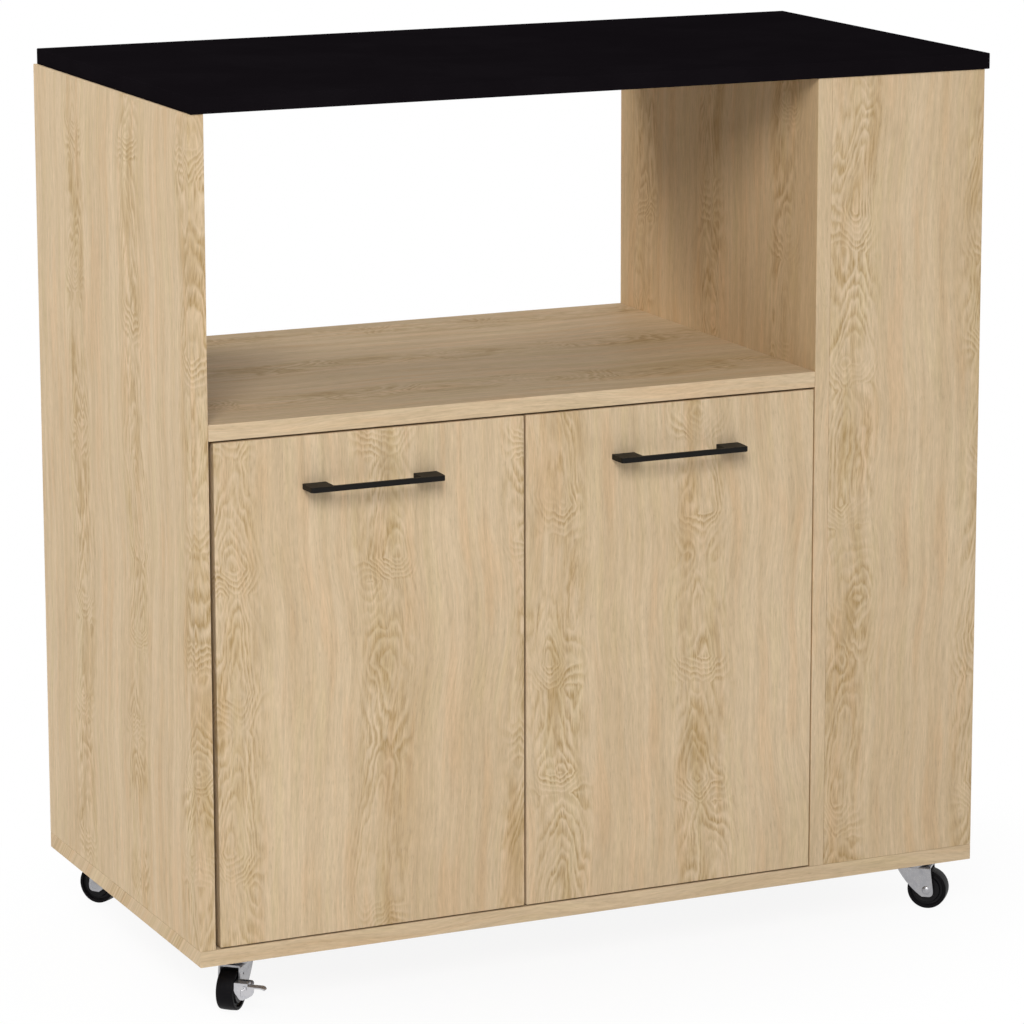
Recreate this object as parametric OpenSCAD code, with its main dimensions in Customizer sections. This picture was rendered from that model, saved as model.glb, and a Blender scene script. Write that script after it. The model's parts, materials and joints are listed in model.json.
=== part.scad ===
// Kitchen cart on four casters: a black worktop over an oak-finish body, with an open niche
// above two inset doors and a narrow bay of shelves that opens to the right.
// Millimetres. In the layout below x runs right from the body's left face, y runs back from
// its front plane and z runs up from the floor. Every node is then moved into the cart's own
// frame, whose origin is on the floor, under the middle of the bounding box.

/* [Body] */
// Width of the body over its two outer faces
body_w = 798; // [700:1:900]
// Depth of the body from its front plane to its back edges
body_d = 418; // [380:1:480]
// Height from the underside of the bottom board to the underside of the worktop
body_h = 772.5; // [700:0.5:860]
// Thickness of the bottom board, the upright panels and the shelves
board_t = 15; // [14:0.5:18]
// Clear height of the open niche under the worktop
niche_h = 275.5; // [200:0.5:320]
// Width of the shelf bay at the right, over its front panel
bay_w = 162.5; // [120:0.5:220]
// Thickness of the thin back panel behind the doors
back_t = 4; // [3:0.5:6]
// How far the back panel stands in from the body's back edges
back_inset = 8; // [4:0.5:20]

/* [Worktop] */
// Thickness of the worktop
top_t = 15; // [14:0.5:25]
// Strip of the left panel's top edge that the worktop leaves bare
top_left_inset = 2.5; // [0:0.5:6]
// Overhang of the worktop past the right of the body
top_right_overhang = 4.5; // [0:0.5:20]
// Overhang of the worktop past the front plane
top_front_overhang = 1.5; // [0:0.5:15]
// Strip at the back that the worktop leaves bare
top_back_inset = 3.5; // [0:0.5:10]

/* [Shelves] */
// Height of the adjustable shelf's underside above the bottom board
cabinet_shelf_rise = 196; // [150:1:260]
// Setback of the adjustable shelf's front edge from the front plane
cabinet_shelf_setback = 40; // [30:1:80]
// Gap at each end of the adjustable shelf
cabinet_shelf_gap = 1; // [0.5:0.5:2]
// Diameter of a shelf pin
pin_d = 5; // [4:0.5:6]
// Length of a shelf pin inside its panel
pin_in = 9; // [6:0.5:10]
// Length of a shelf pin under the shelf
pin_out = 8; // [6:0.5:12]
// Distance between the heights that the shelf pins can take
pin_pitch = 32; // [25:1:50]
// Distance of the shelf pins from the front and back of the cabinet
pin_inset = 60; // [50:1:80]

/* [Doors] */
// Thickness of a door
door_t = 15; // [15:0.5:18]
// Gap between the left panel and the left door
left_gap = 4.5; // [1.2:0.1:5]
// Gap between the two doors
middle_gap = 2.1; // [1.5:0.1:4]
// Gap between the right door and the partition
right_gap = 1.2; // [1.2:0.1:5]
// Gap over the doors
upper_gap = 1.9; // [1:0.1:4]
// Gap under the doors
lower_gap = 1.5; // [1:0.1:4]
// How far the gap between the doors lies to the right of the cabinet's middle
meeting_offset = 2.2; // [-20:0.1:20]

/* [Handles] */
// Length of a handle
handle_l = 130; // [120:1:160]
// Thickness of a handle from top to bottom
handle_t = 5; // [4:0.5:8]
// Projection of a handle from the door's front face
handle_out = 22; // [18:0.5:35]
// Width of a handle's foot, along its length
handle_foot = 22.5; // [15:0.5:28]
// Depth of a handle's bar from front to back
handle_bar = 4; // [3:0.5:8]
// Radius of a handle's two outer corners
handle_corner = 3; // [1:0.5:4]
// Distance from the inner side of a handle's foot to its screw
handle_screw_side = 5.5; // [3.5:0.5:7]
// Distance from the top of the door down to the middle of the handle
handle_drop = 46; // [30:1:90]
// Distance from the middle of the gap between the doors to the middle of a handle
handle_to_meeting = 153; // [120:1:165]
// Diameter of a handle screw
handle_screw_d = 4; // [3:0.5:4.5]

/* [Hinges] */
// Diameter of a hinge cup
cup_d = 35; // [34:0.5:36]
// Depth of a hinge cup in the door
cup_depth = 12.3; // [12:0.1:12.5]
// Wood left between the door's edge and the hinge cup
cup_edge = 5; // [4.5:0.5:6]
// Thickness of a hinge cup's wall
cup_wall = 1; // [0.8:0.1:1.2]
// Distance of a hinge from the door's top or bottom edge
hinge_end = 75; // [55:1:110]
// Distance from the door's edge to the middle of the hinge pin
hinge_pin_in = 13; // [12.5:0.1:13.5]
// Distance from the door's front face to the middle of the hinge pin
hinge_pin_back = 5.5; // [5.5:0.1:5.8]
// Diameter of a hinge pin
hinge_pin_d = 2; // [1.8:0.1:2.2]
// Radial running clearance of a hinge pin
hinge_run = 0.04; // [0.02:0.01:0.08]
// Thickness of the hinge arm's steel
arm_t = 2; // [1.5:0.1:2.2]
// Width of the hinge arm
arm_w = 15; // [12:0.5:16]
// Length of the hinge arm along the panel
arm_l = 56; // [48:1:70]

/* [Casters] */
// Height of a caster from the floor to the bottom board
caster_h = 54; // [52:0.5:60]
// Diameter of a wheel
wheel_d = 39; // [36:0.5:40]
// Width of a wheel's tread
wheel_w = 16.5; // [14:0.5:18.5]
// Distance from the swivel axis back to the axle
trail = 13; // [12:0.5:15]
// Gap between the wheel's side and each of the fork's legs
wheel_side_gap = 0.8; // [0.5:0.1:2]
// Thickness of the fork's steel
fork_t = 1.8; // [1.2:0.1:2.5]
// Diameter of the axle
axle_d = 6; // [5:0.5:7]
// Running clearance round the axle
axle_run = 0.05; // [0.02:0.01:0.09]
// Side of the square mounting plate
plate_w = 42; // [40:0.5:46]
// Thickness of the mounting plate
plate_t = 2; // [1.5:0.1:3]
// Distance between neighbouring screws in the mounting plate
plate_pitch = 32; // [31:0.5:34]
// Diameter of the rivet that the fork swivels on
kingpin_d = 8; // [6:0.5:10]
// Swivel axis of the left casters, in from the body's left face
caster_from_left = 50; // [45:1:80]
// Swivel axis of the right casters, in from the body's right face
caster_from_right = 37; // [36:1:80]
// Swivel axis of the front casters, back from the front plane
caster_from_front = 42; // [40:1:80]
// Swivel axis of the rear casters, in from the body's back edges
caster_from_back = 36; // [36:1:80]
// Way that the front left wheel trails, as an angle from +x
front_left_turn = -132; // [-180:1:180]
// Way that the front right wheel trails
front_right_turn = -41; // [-180:1:180]
// Way that the rear left wheel trails
rear_left_turn = 127; // [-180:1:180]
// Way that the rear right wheel trails
rear_right_turn = 160; // [-180:1:180]

/* [Hidden] */
$fn = 48;

oak = [0.80, 0.71, 0.57];
black = [0.13, 0.13, 0.13];
zinc = [0.72, 0.72, 0.73];
dark_plastic = [0.25, 0.25, 0.26];
hardboard = [0.62, 0.53, 0.42];

// Length that a cut runs past the solid it opens
cut = 1;
// Clearance between a bought part and the hole or pocket that holds it
seat_clear = 0.1;

// Levels and main planes
floor_top = caster_h + board_t;
body_top = caster_h + body_h;
shelf_top = body_top - niche_h;
shelf_under = shelf_top - board_t;
partition_x = body_w - bay_w - board_t;
bay_x = partition_x + board_t;
back_y = body_d - back_inset - back_t;

// Doors
cabinet_w = partition_x - board_t;
door_share = (cabinet_w - left_gap - middle_gap - right_gap) / 2;
left_door_w = door_share + meeting_offset;
right_door_w = door_share - meeting_offset;
left_door_x = board_t + left_gap;
right_door_x = partition_x - right_gap;
meeting_x = left_door_x + left_door_w + middle_gap / 2;
door_z = floor_top + lower_gap;
door_h = shelf_under - upper_gap - door_z;
hinge_levels = [door_z + hinge_end, door_z + door_h - hinge_end];
handle_z = door_z + door_h - handle_drop;

// Hinge, measured from the door's edge and front face
cup_mid = cup_edge + cup_d / 2;
cup_floor = 0.6;
cup_flange_t = 1;
barrel_r = 1.75;
pocket_r = cup_d / 2 + seat_clear;
corner_swing = norm([hinge_pin_in, door_t - hinge_pin_back]);
arm_clear = 0.8;
arm_reach = hinge_pin_in + corner_swing + arm_clear;
arm_back = hinge_pin_back + corner_swing + arm_clear;
arm_base = 2.5;
arm_flange = 1.8;
arm_flange_t = 1.5;
arm_flange_from = 12;
arm_screw_from = 16;
arm_screw_pitch = 28;
plate_from = 12;
plate_l = 38;
plate_wing_from = 9;
plate_wing_l = 18;
plate_wing_half = 25;
plate_wing_t = 1.5;
plate_hole = 16;
plate_neck_w = arm_w - 2 * arm_t + 0.4;
hinge_pin_half = sqrt(pow(cup_d / 2, 2) - pow(cup_mid - hinge_pin_in + hinge_pin_d / 2, 2)) - 0.2;

// Handle
handle_recess = handle_out - handle_bar;
handle_pitch = handle_l - 2 * (handle_foot - handle_screw_side);
handle_hole_deep = 9;
handle_recess_r = 2;

// The bay's shelves share its height evenly
bay_shelf_count = 3;

// Cam fittings
cam_d = 15;
cam_deep = 12;
cam_back = 34;
bolt_d = 6;
bolt_in = 11;
bolt_head_from = 2;
bolt_neck_from = 4.5;
bolt_neck_to = 8;
cam_inset = 60;

// Casters, measured from the swivel axis and the floor, with the wheel trailing along +x
wheel_r = wheel_d / 2;
tread_round = 1.2;
groove_out = wheel_r - 3.6;
groove_w = 3.3;
groove_deep = 2.6;
fork_gap = wheel_w + 2 * wheel_side_gap;
fork_top = caster_h - 11;
fork_under = fork_top - fork_t;
fork_bend = 0.8;
fork_half = fork_gap / 2 + fork_t;
leg_tip = 6.8;
leg_tip_r = 4.5;
leg_hole_d = 2.2;
leg_hole_x = trail - 3;
leg_hole_z = fork_top - 9;
fork_reach = 36;
fork_front_r = 80;
fork_front_x = 41.2;
fork_front_z = 58.9;
race_gap = 1;
hub_half = fork_gap / 2 - 0.3;
plate_under = caster_h - plate_t;
kingpin_head_r = 6;
kingpin_head_t = 1.3;
swivel_run = 0.06;
plate_screw_d = 3.6;
plate_screw_in = 12;
casters = [
    [caster_from_left, caster_from_front, front_left_turn],
    [body_w - caster_from_right, caster_from_front, front_right_turn],
    [caster_from_left, body_d - caster_from_back, rear_left_turn],
    [body_w - caster_from_right, body_d - caster_from_back, rear_right_turn]
];

// Brake, on the fork's side that faces +y in the caster's own directions. The lever stands
// behind the leg, and its inner edge swings toward the wheel's side.
brake_y = fork_half + 8.6;
brake_z = wheel_r + 7.1;
brake_pin_d = 2.4;
ear_t = 1.5;
ear_r = 2.6;
ear_spots = [trail - 0.8, trail + 3.2];
pin_front = ear_spots[0] - 0.3;
lever_t = 1.2;
lever_front = trail + 9.2;
lever_back = trail + 17.5;
lever_rim = 4.6;
lever_step = 2.6;
lever_step_y = 3;
lever_gap = 0.5;
lever_in = brake_y - wheel_w / 2 - lever_gap;
lever_out = 9.2;
lever_foot = 11.2;
tab_flat = 14.5;
tab_bend = 7.5;
tab_turn = 42;
tab_corner = 3.5;

// Origin of the cart's own frame in the layout
frame_x = (body_w + top_right_overhang) / 2;
frame_y = (body_d - max(handle_out, top_front_overhang)) / 2;

module in_frame() {
    translate([-frame_x, -frame_y, 0]) children();
}

// A board given by two opposite corners
module board(from, to) {
    translate(from) cube(to - from);
}

// Turns +z to the given axis direction
module along(dir) {
    rotate([0, acos(dir.z), dir.x == 0 && dir.y == 0 ? 0 : atan2(dir.y, dir.x)]) children();
}

// A flat rectangle with round corners, given by two opposite corners
module round_rect(from, to, r) {
    translate([from.x + r, from.y]) square([to.x - from.x - 2 * r, to.y - from.y]);
    translate([from.x, from.y + r]) square([to.x - from.x, to.y - from.y - 2 * r]);
    for (x = [from.x + r, to.x - r], y = [from.y + r, to.y - r]) translate([x, y]) circle(r);
}

// Boards of the body

module worktop_board() {
    board([top_left_inset, -top_front_overhang, body_top],
        [body_w + top_right_overhang, body_d - top_back_inset, body_top + top_t]);
}

// Cam fittings: where the cam sits on its board's open face, the way that face looks, and the
// way its bolt runs into the next board
cam_rows = [cam_inset, body_d - cam_inset];
bay_mid_x = bay_x + (bay_w - board_t) / 2;
left_panel_cams = [for (y = cam_rows, end = [-1, 1])
    [[board_t, y, end > 0 ? body_top - cam_back : floor_top + cam_back], [1, 0, 0], [0, 0, end]]];
partition_cams = [for (y = cam_rows, end = [-1, 1])
    [[bay_x, y, end > 0 ? body_top - cam_back : floor_top + cam_back], [1, 0, 0], [0, 0, end]]];
niche_shelf_cams = [for (y = cam_rows, end = [-1, 1])
    [[end > 0 ? partition_x - cam_back : board_t + cam_back, y, shelf_under], [0, 0, -1], [end, 0, 0]]];
front_panel_cams = [for (end = [-1, 1])
    [[bay_mid_x, board_t, end > 0 ? body_top - cam_back : floor_top + cam_back], [0, 1, 0], [0, 0, end]]];
rear_panel_cams = [for (end = [-1, 1])
    [[bay_mid_x, body_d - board_t, end > 0 ? body_top - cam_back : floor_top + cam_back],
        [0, -1, 0], [0, 0, end]]];
all_cams = concat(left_panel_cams, partition_cams, niche_shelf_cams, front_panel_cams, rear_panel_cams);

// The bolt's middle line runs through the middle of the board
module cam_bolt_line(cam, r, from, to) {
    translate(cam[0] - cam[1] * board_t / 2 + cam[2] * from) along(cam[2]) cylinder(r = r, h = to - from);
}

module cam_cuts(cams) {
    for (cam = cams) {
        translate(cam[0] + cam[1] * cut) along(-cam[1])
            cylinder(d = cam_d + 2 * seat_clear, h = cam_deep + seat_clear + cut);
        cam_bolt_line(cam, bolt_d / 2 + seat_clear, 0, cam_back + cut);
    }
}

module cam_bolt_cuts(cams) {
    for (cam = cams) cam_bolt_line(cam, bolt_d / 2 + seat_clear, cam_back - cut, cam_back + bolt_in + seat_clear);
}

module cam_lock(cam) {
    difference() {
        translate(cam[0]) along(-cam[1]) cylinder(d = cam_d, h = cam_deep);
        translate(cam[0] + cam[1] * cut) along(-cam[1]) for (turn = [45, 135]) rotate([0, 0, turn])
            translate([-4, -0.7, 0]) cube([8, 1.4, 2.5 + cut]);
        cam_bolt_line(cam, bolt_d / 2 + seat_clear, 1.5, cam_d);
    }
}

// A bolt with a narrow neck behind the head that its cam grips
module cam_bolt(cam) {
    cam_bolt_line(cam, bolt_d / 2, bolt_head_from, bolt_neck_from);
    cam_bolt_line(cam, bolt_d / 2 - 1, bolt_neck_from, bolt_neck_to);
    cam_bolt_line(cam, bolt_d / 2, bolt_neck_to, cam_back + bolt_in);
}

// Shelf pins of the cabinet: x of the panel's face, the way the pin points out of it, and y
pin_spots = [for (y = [pin_inset, back_y - pin_inset], side = [0, 1])
    [side == 0 ? board_t : partition_x, side == 0 ? 1 : -1, y]];
pin_level = floor_top + cabinet_shelf_rise - pin_d / 2;

module shelf_pin_cuts(side) {
    for (spot = pin_spots, step = [-2:2]) if (spot[1] == side)
        translate([spot[0] + side * cut, spot[2], pin_level + step * pin_pitch])
            along([-side, 0, 0]) cylinder(d = pin_d + 0.1, h = pin_in + seat_clear + cut);
}

module left_side_panel_board() {
    difference() {
        board([0, 0, floor_top], [board_t, body_d, body_top]);
        cam_cuts(left_panel_cams);
        cam_bolt_cuts([for (cam = niche_shelf_cams) if (cam[2].x < 0) cam]);
        shelf_pin_cuts(1);
    }
}

module partition_board() {
    difference() {
        board([partition_x, 0, floor_top], [bay_x, body_d, body_top]);
        cam_cuts(partition_cams);
        cam_bolt_cuts([for (cam = niche_shelf_cams) if (cam[2].x > 0) cam]);
        shelf_pin_cuts(-1);
    }
}

module niche_shelf_board() {
    difference() {
        board([board_t, 0, shelf_under], [partition_x, body_d, shelf_top]);
        cam_cuts(niche_shelf_cams);
    }
}

module plate_screw_spots(caster) {
    for (dx = [-1, 1], dy = [-1, 1])
        translate([caster.x + dx * plate_pitch / 2, caster.y + dy * plate_pitch / 2, 0]) children();
}

module bottom_board_board() {
    difference() {
        board([0, 0, caster_h], [body_w, body_d, floor_top]);
        cam_bolt_cuts([for (cam = all_cams) if (cam[2].z < 0) cam]);
        for (caster = casters) plate_screw_spots(caster)
            translate([0, 0, caster_h - cut])
                cylinder(d = plate_screw_d + 0.1, h = plate_screw_in + seat_clear + cut);
    }
}

module bay_panel(y, cams) {
    difference() {
        board([bay_x, y, floor_top], [body_w, y + board_t, body_top]);
        cam_cuts(cams);
    }
}

module bay_shelf(number) {
    level = floor_top + number * (body_top - floor_top + board_t) / (bay_shelf_count + 1);
    board([bay_x, board_t, level - board_t], [body_w, body_d - board_t, level]);
}

// Doors, handles and hinges. left_hand and right_hand put a shape that is drawn from the
// door's edge at the origin, with the door toward +x, on the left or the right door.

module left_hand() {
    translate([left_door_x, 0, 0]) children();
}

module right_hand() {
    translate([right_door_x, 0, 0]) mirror([1, 0, 0]) children();
}

module at_hinges() {
    for (z = hinge_levels) translate([0, 0, z]) children();
}

// Turns a flat shape drawn in the caster's or the hinge's plan so that it stands along y
module front_to_back(from, to) {
    translate([0, to, 0]) rotate([90, 0, 0]) linear_extrude(to - from) children();
}

module door(width, handle_x) {
    difference() {
        board([0, 0, door_z], [width, door_t, door_z + door_h]);
        at_hinges() translate([cup_mid, door_t + cut, 0]) rotate([90, 0, 0])
            cylinder(r = pocket_r, h = cup_depth + seat_clear + cut);
        for (dx = [-1, 1]) translate([handle_x + dx * handle_pitch / 2, -cut, handle_z])
            rotate([-90, 0, 0]) cylinder(d = handle_screw_d + 0.5, h = door_t + 2 * cut);
    }
}

// Bar handle, drawn about the middle of its length at the door's front face
module handle() {
    half = handle_l / 2;
    inner = half - handle_foot;
    difference() {
        translate([0, 0, -handle_t / 2]) linear_extrude(handle_t) difference() {
            intersection() {
                round_rect([-half, -handle_out], [half, handle_corner + cut], handle_corner);
                translate([-half, -handle_out]) square([handle_l, handle_out]);
            }
            round_rect([-inner, -handle_recess], [inner, cut + handle_recess_r], handle_recess_r);
        }
        for (dx = [-1, 1]) translate([dx * handle_pitch / 2, cut, 0]) rotate([90, 0, 0])
            cylinder(d = handle_screw_d + 0.1, h = handle_hole_deep + seat_clear + cut);
    }
}

module handle_screws() {
    for (dx = [-1, 1]) translate([dx * handle_pitch / 2, door_t, 0]) rotate([90, 0, 0]) {
        cylinder(d = handle_screw_d, h = door_t + handle_hole_deep);
        rotate([180, 0, 0]) difference() {
            cylinder(d = handle_screw_d * 2, h = 2.4);
            for (turn = [0, 90]) rotate([0, 0, turn])
                translate([-2.4, -0.5, 1]) cube([4.8, 1, 2]);
        }
    }
}

module hinge_cup() {
    ear = 24;
    difference() {
        union() {
            translate([cup_mid, door_t, 0]) rotate([90, 0, 0]) cylinder(d = cup_d, h = cup_depth);
            front_to_back(door_t, door_t + cup_flange_t) {
                translate([cup_mid, 0]) circle(cup_d / 2 + 1.5);
                round_rect([cup_mid + 2, -ear - 6], [cup_mid + 15, ear + 6], 5);
            }
        }
        translate([cup_mid, door_t + cup_flange_t + cut, 0]) rotate([90, 0, 0])
            cylinder(r = cup_d / 2 - cup_wall, h = cup_depth + cup_flange_t - cup_floor + cut);
        translate([hinge_pin_in, hinge_pin_back, -hinge_pin_half - 0.05])
            cylinder(d = hinge_pin_d + 0.04, h = 2 * hinge_pin_half + 0.1);
        for (side = [-1, 1]) translate([cup_mid + 8.5, door_t + cup_flange_t + cut, side * ear])
            rotate([90, 0, 0]) cylinder(d = 4.5, h = cup_flange_t + 2 * cut);
    }
}

module hinge_pin() {
    translate([hinge_pin_in, hinge_pin_back, -hinge_pin_half])
        cylinder(d = hinge_pin_d, h = 2 * hinge_pin_half);
}

// Swan-neck arm: it leaves its pin along the floor of the cup, turns out of the cup, crosses
// behind the door's edge at a distance that the edge's corner clears as the door swings, and
// lies on its mounting plate. The door's edge swings into the neck's crook.
module hinge_arm() {
    outer = arm_reach + arm_t;
    rear = arm_back + arm_t;
    low = hinge_pin_back - arm_t / 2;
    difference() {
        union() {
            translate([0, 0, -arm_w / 2]) linear_extrude(arm_w) {
                difference() {
                    round_rect([arm_base - 10, low], [outer, rear], 4);
                    round_rect([arm_base - 12, low + arm_t], [arm_reach, arm_back], 2.5);
                    translate([arm_base - 20, low - cut]) square([hinge_pin_in - arm_base + 20, arm_t + 2 * cut]);
                    translate([arm_base - 20, low - cut]) square([20, rear - low + 2 * cut]);
                }
                translate([hinge_pin_in, hinge_pin_back]) circle(barrel_r);
                translate([arm_base, arm_back]) square([arm_t, arm_l]);
            }
            for (side = [-1, 1]) translate([0, 0, (side * (arm_w - arm_flange_t) - arm_flange_t) / 2])
                linear_extrude(arm_flange_t)
                polygon([
                    [arm_base - arm_flange, arm_back + arm_screw_from / 2],
                    [arm_base - arm_flange, arm_back + arm_l], [arm_base + arm_t, arm_back + arm_l],
                    [arm_base + arm_t + arm_flange_t, arm_back + arm_screw_from + 4],
                    [arm_base + arm_t + arm_flange_from, rear], [arm_base, rear]
                ]);
        }
        translate([hinge_pin_in, hinge_pin_back, -arm_w])
            cylinder(r = hinge_pin_d / 2 + hinge_run, h = 2 * arm_w);
        for (y = [0, arm_screw_pitch]) translate([arm_base - cut, arm_back + arm_screw_from + y, 0])
            rotate([0, 90, 0]) cylinder(d = 5, h = arm_t + 2 * cut);
    }
}

// Cross-shaped mounting plate between the panel and the arm; the gap beside the door sets
// its height
module hinge_plate(gap) {
    start = arm_back + plate_from;
    wing = start + plate_wing_from;
    difference() {
        union() {
            board([-gap, start, -plate_neck_w / 2 + 1], [arm_base, start + plate_l, plate_neck_w / 2 - 1]);
            translate([-gap, 0, 0]) rotate([90, 0, 90]) linear_extrude(plate_wing_t)
                round_rect([wing, -plate_wing_half], [wing + plate_wing_l, plate_wing_half], 5);
        }
        for (side = [-1, 1]) translate([-gap - cut, wing + plate_wing_l / 2, side * plate_hole])
            rotate([0, 90, 0]) cylinder(d = 5.5, h = plate_wing_t + 2 * cut);
    }
}

// Double magnetic catch under the niche shelf, and a strike plate on the back of each door
strike_t = 1.2;
strike_w = 18;
strike_h = 13;
strike_back = 3;
catch_gap = 0.3;

module strike_plate(side) {
    near = meeting_x + side * (middle_gap / 2 + strike_back);
    far = near + side * strike_w;
    translate([0, door_t, door_z + door_h - strike_back - strike_h]) difference() {
        front_to_back(0, strike_t) round_rect([min(near, far), 0], [max(near, far), strike_h], 2);
        translate([(near + far) / 2, -cut, strike_h / 2]) rotate([-90, 0, 0])
            cylinder(d = 3.5, h = strike_t + 2 * cut);
    }
}

module catch_body() {
    half = middle_gap / 2 + strike_back + strike_w;
    face = door_t + strike_t + catch_gap;
    difference() {
        union() {
            board([meeting_x - half, face + 2, shelf_under - 13], [meeting_x + half, face + 18, shelf_under]);
            for (side = [-1, 1]) translate([meeting_x + side * (half - 8), 0, 0])
                board([-6, face, shelf_under - 12], [6, face + 2, shelf_under - 4]);
            board([meeting_x - half - 8, face + 6, shelf_under - 2], [meeting_x + half + 8, face + 16, shelf_under]);
        }
        for (side = [-1, 1]) translate([meeting_x + side * (half + 4), face + 11, shelf_under - 3])
            cylinder(d = 3.5, h = 4);
        board([meeting_x - 6, face + 1, shelf_under - 14], [meeting_x + 6, face + 19, shelf_under - 3]);
    }
}

// Casters. Each shape is drawn about the swivel axis, with the wheel trailing along +x, and
// turned into place; the mounting plate stays square to the body.

module at_caster(number, turned = true) {
    translate([casters[number].x, casters[number].y, 0])
        rotate([0, 0, turned ? casters[number][2] : 0]) children();
}

// Turns a shape of revolution drawn about z so that it turns about the axle
module at_axle() {
    translate([trail, 0, wheel_r]) rotate([90, 0, 0]) children();
}

// Square plate with the upper race of the swivel bearing drawn down from it
module caster_plate() {
    difference() {
        union() {
            translate([0, 0, plate_under]) linear_extrude(plate_t)
                round_rect([-plate_w / 2, -plate_w / 2], [plate_w / 2, plate_w / 2], 3);
            rotate_extrude() polygon([
                [0, fork_top + race_gap], [14.4, fork_top + race_gap], [15, fork_top + race_gap + 0.8],
                [16.2, plate_under - 1], [17.2, plate_under + 0.2], [0, plate_under + 0.2]
            ]);
        }
        translate([0, 0, fork_top]) cylinder(r = 12.2, h = plate_under - 1.6 - fork_top);
        translate([0, 0, fork_top]) cylinder(d = kingpin_d + 0.04, h = caster_h);
        translate([0, 0, caster_h - 1.1]) cylinder(r = kingpin_head_r + 0.1, h = 1.1 + cut);
        for (dx = [-1, 1], dy = [-1, 1])
            translate([dx * plate_pitch / 2, dy * plate_pitch / 2, plate_under - cut])
                cylinder(d = plate_screw_d + 0.8, h = plate_t + 2 * cut);
    }
}

// Rivet that holds the fork to the plate
module kingpin() {
    translate([0, 0, fork_under - 0.3 - kingpin_head_t]) {
        cylinder(r1 = kingpin_head_r - 1, r2 = kingpin_head_r, h = 0.6);
        translate([0, 0, 0.6]) cylinder(r = kingpin_head_r, h = kingpin_head_t - 0.6);
    }
    translate([0, 0, fork_under - 0.4]) cylinder(d = kingpin_d, h = caster_h - 0.1 - fork_under + 0.3);
    translate([0, 0, caster_h - 1.1]) cylinder(r = kingpin_head_r, h = 1);
}

// Side view of the fork: a near-upright rear edge, a long curved front edge and a blunt tip
// under the axle
module fork_side_outline() {
    intersection() {
        translate([trail + fork_front_x, wheel_r + fork_front_z]) circle(fork_front_r, $fn = 96);
        union() {
            polygon([
                [trail - fork_reach, fork_top], [trail + 3.8, fork_top], [trail + leg_tip, wheel_r],
                [trail - fork_reach, wheel_r]
            ]);
            round_rect([trail - fork_reach, wheel_r - leg_tip], [trail + leg_tip, wheel_r + leg_tip_r],
                leg_tip_r);
        }
    }
}

// End view of the fork: bent from one sheet, with round bends at the top
module fork_end_outline() {
    difference() {
        round_rect([-fork_half, -10], [fork_half, fork_top], fork_bend + fork_t);
        round_rect([-fork_gap / 2, -20], [fork_gap / 2, fork_under], fork_bend);
    }
}

module fork(braked) {
    difference() {
        union() {
            intersection() {
                rotate([90, 0, 90]) translate([0, 0, trail - fork_reach]) linear_extrude(2 * fork_reach)
                    fork_end_outline();
                front_to_back(-fork_half - 1, fork_half + 1) fork_side_outline();
            }
            translate([0, 0, fork_under + 0.5]) cylinder(r = 11.8, h = plate_under - 2 - fork_under - 0.5);
            if (braked) for (x = ear_spots) brake_ear(x);
        }
        translate([0, 0, fork_under - cut]) cylinder(r = kingpin_d / 2 + swivel_run, h = caster_h);
        at_axle() translate([0, 0, -fork_half - cut]) cylinder(d = axle_d + 0.04, h = 2 * (fork_half + cut));
        if (braked) {
            translate([trail - 15, brake_y, brake_z]) rotate([0, 90, 0])
                cylinder(d = brake_pin_d + 0.04, h = 30);
            translate([leg_hole_x, 0, leg_hole_z]) rotate([-90, 0, 0])
                cylinder(d = leg_hole_d, h = fork_half + cut);
        }
    }
}

// Ear bent out of the leg to carry the brake lever's pin
module brake_ear(x) {
    translate([x, 0, 0]) rotate([90, 0, 90]) linear_extrude(ear_t) {
        translate([fork_half - 0.9, brake_z - ear_r]) square([brake_y - fork_half + 0.9, 2 * ear_r]);
        translate([brake_y, brake_z]) circle(ear_r);
    }
}

module wheel() {
    half = wheel_w / 2;
    at_axle() difference() {
        rotate_extrude($fn = 96) {
            round_rect([wheel_r - 4 * tread_round, -half], [wheel_r, half], tread_round);
            translate([0, -half]) square([wheel_r - 3 * tread_round, wheel_w]);
            translate([0, -hub_half]) square([axle_d / 2 + 2.6, 2 * hub_half]);
        }
        for (side = [-1, 1]) translate([0, 0, side * half]) rotate_extrude($fn = 96)
            polygon([
                [groove_out - groove_w + 0.5, -groove_deep], [groove_out - 0.5, -groove_deep],
                [groove_out + 0.5, groove_deep], [groove_out - groove_w - 0.5, groove_deep]
            ]);
        cylinder(r = axle_d / 2 + axle_run, h = 3 * wheel_w, center = true);
    }
}

// Axle rivet with a domed head on each side of the fork
module axle() {
    head_r = 4.2;
    head_t = 1.8;
    dome_r = (head_r * head_r + head_t * head_t) / (2 * head_t);
    at_axle() {
        cylinder(d = axle_d, h = 2 * fork_half, center = true);
        for (side = [0, 180]) rotate([side, 0, 0]) intersection() {
            translate([0, 0, fork_half + head_t - dome_r]) sphere(dome_r);
            translate([0, 0, fork_half]) cylinder(r = head_r + 1, h = head_t + 1);
        }
    }
}

// Pin of the lever, held in the two ears, with a hollow end in the lever's rear plate
module brake_pin() {
    pin_l = lever_back + 0.3 - pin_front;
    translate([pin_front, brake_y, brake_z]) rotate([0, 90, 0]) difference() {
        union() {
            cylinder(d = brake_pin_d, h = pin_l);
            for (z = [-0.8, pin_l]) translate([0, 0, z]) cylinder(d = brake_pin_d + 1.8, h = 0.8);
        }
        translate([0, 0, pin_l - 0.4]) cylinder(d = brake_pin_d - 0.6, h = 3);
    }
}

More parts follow.
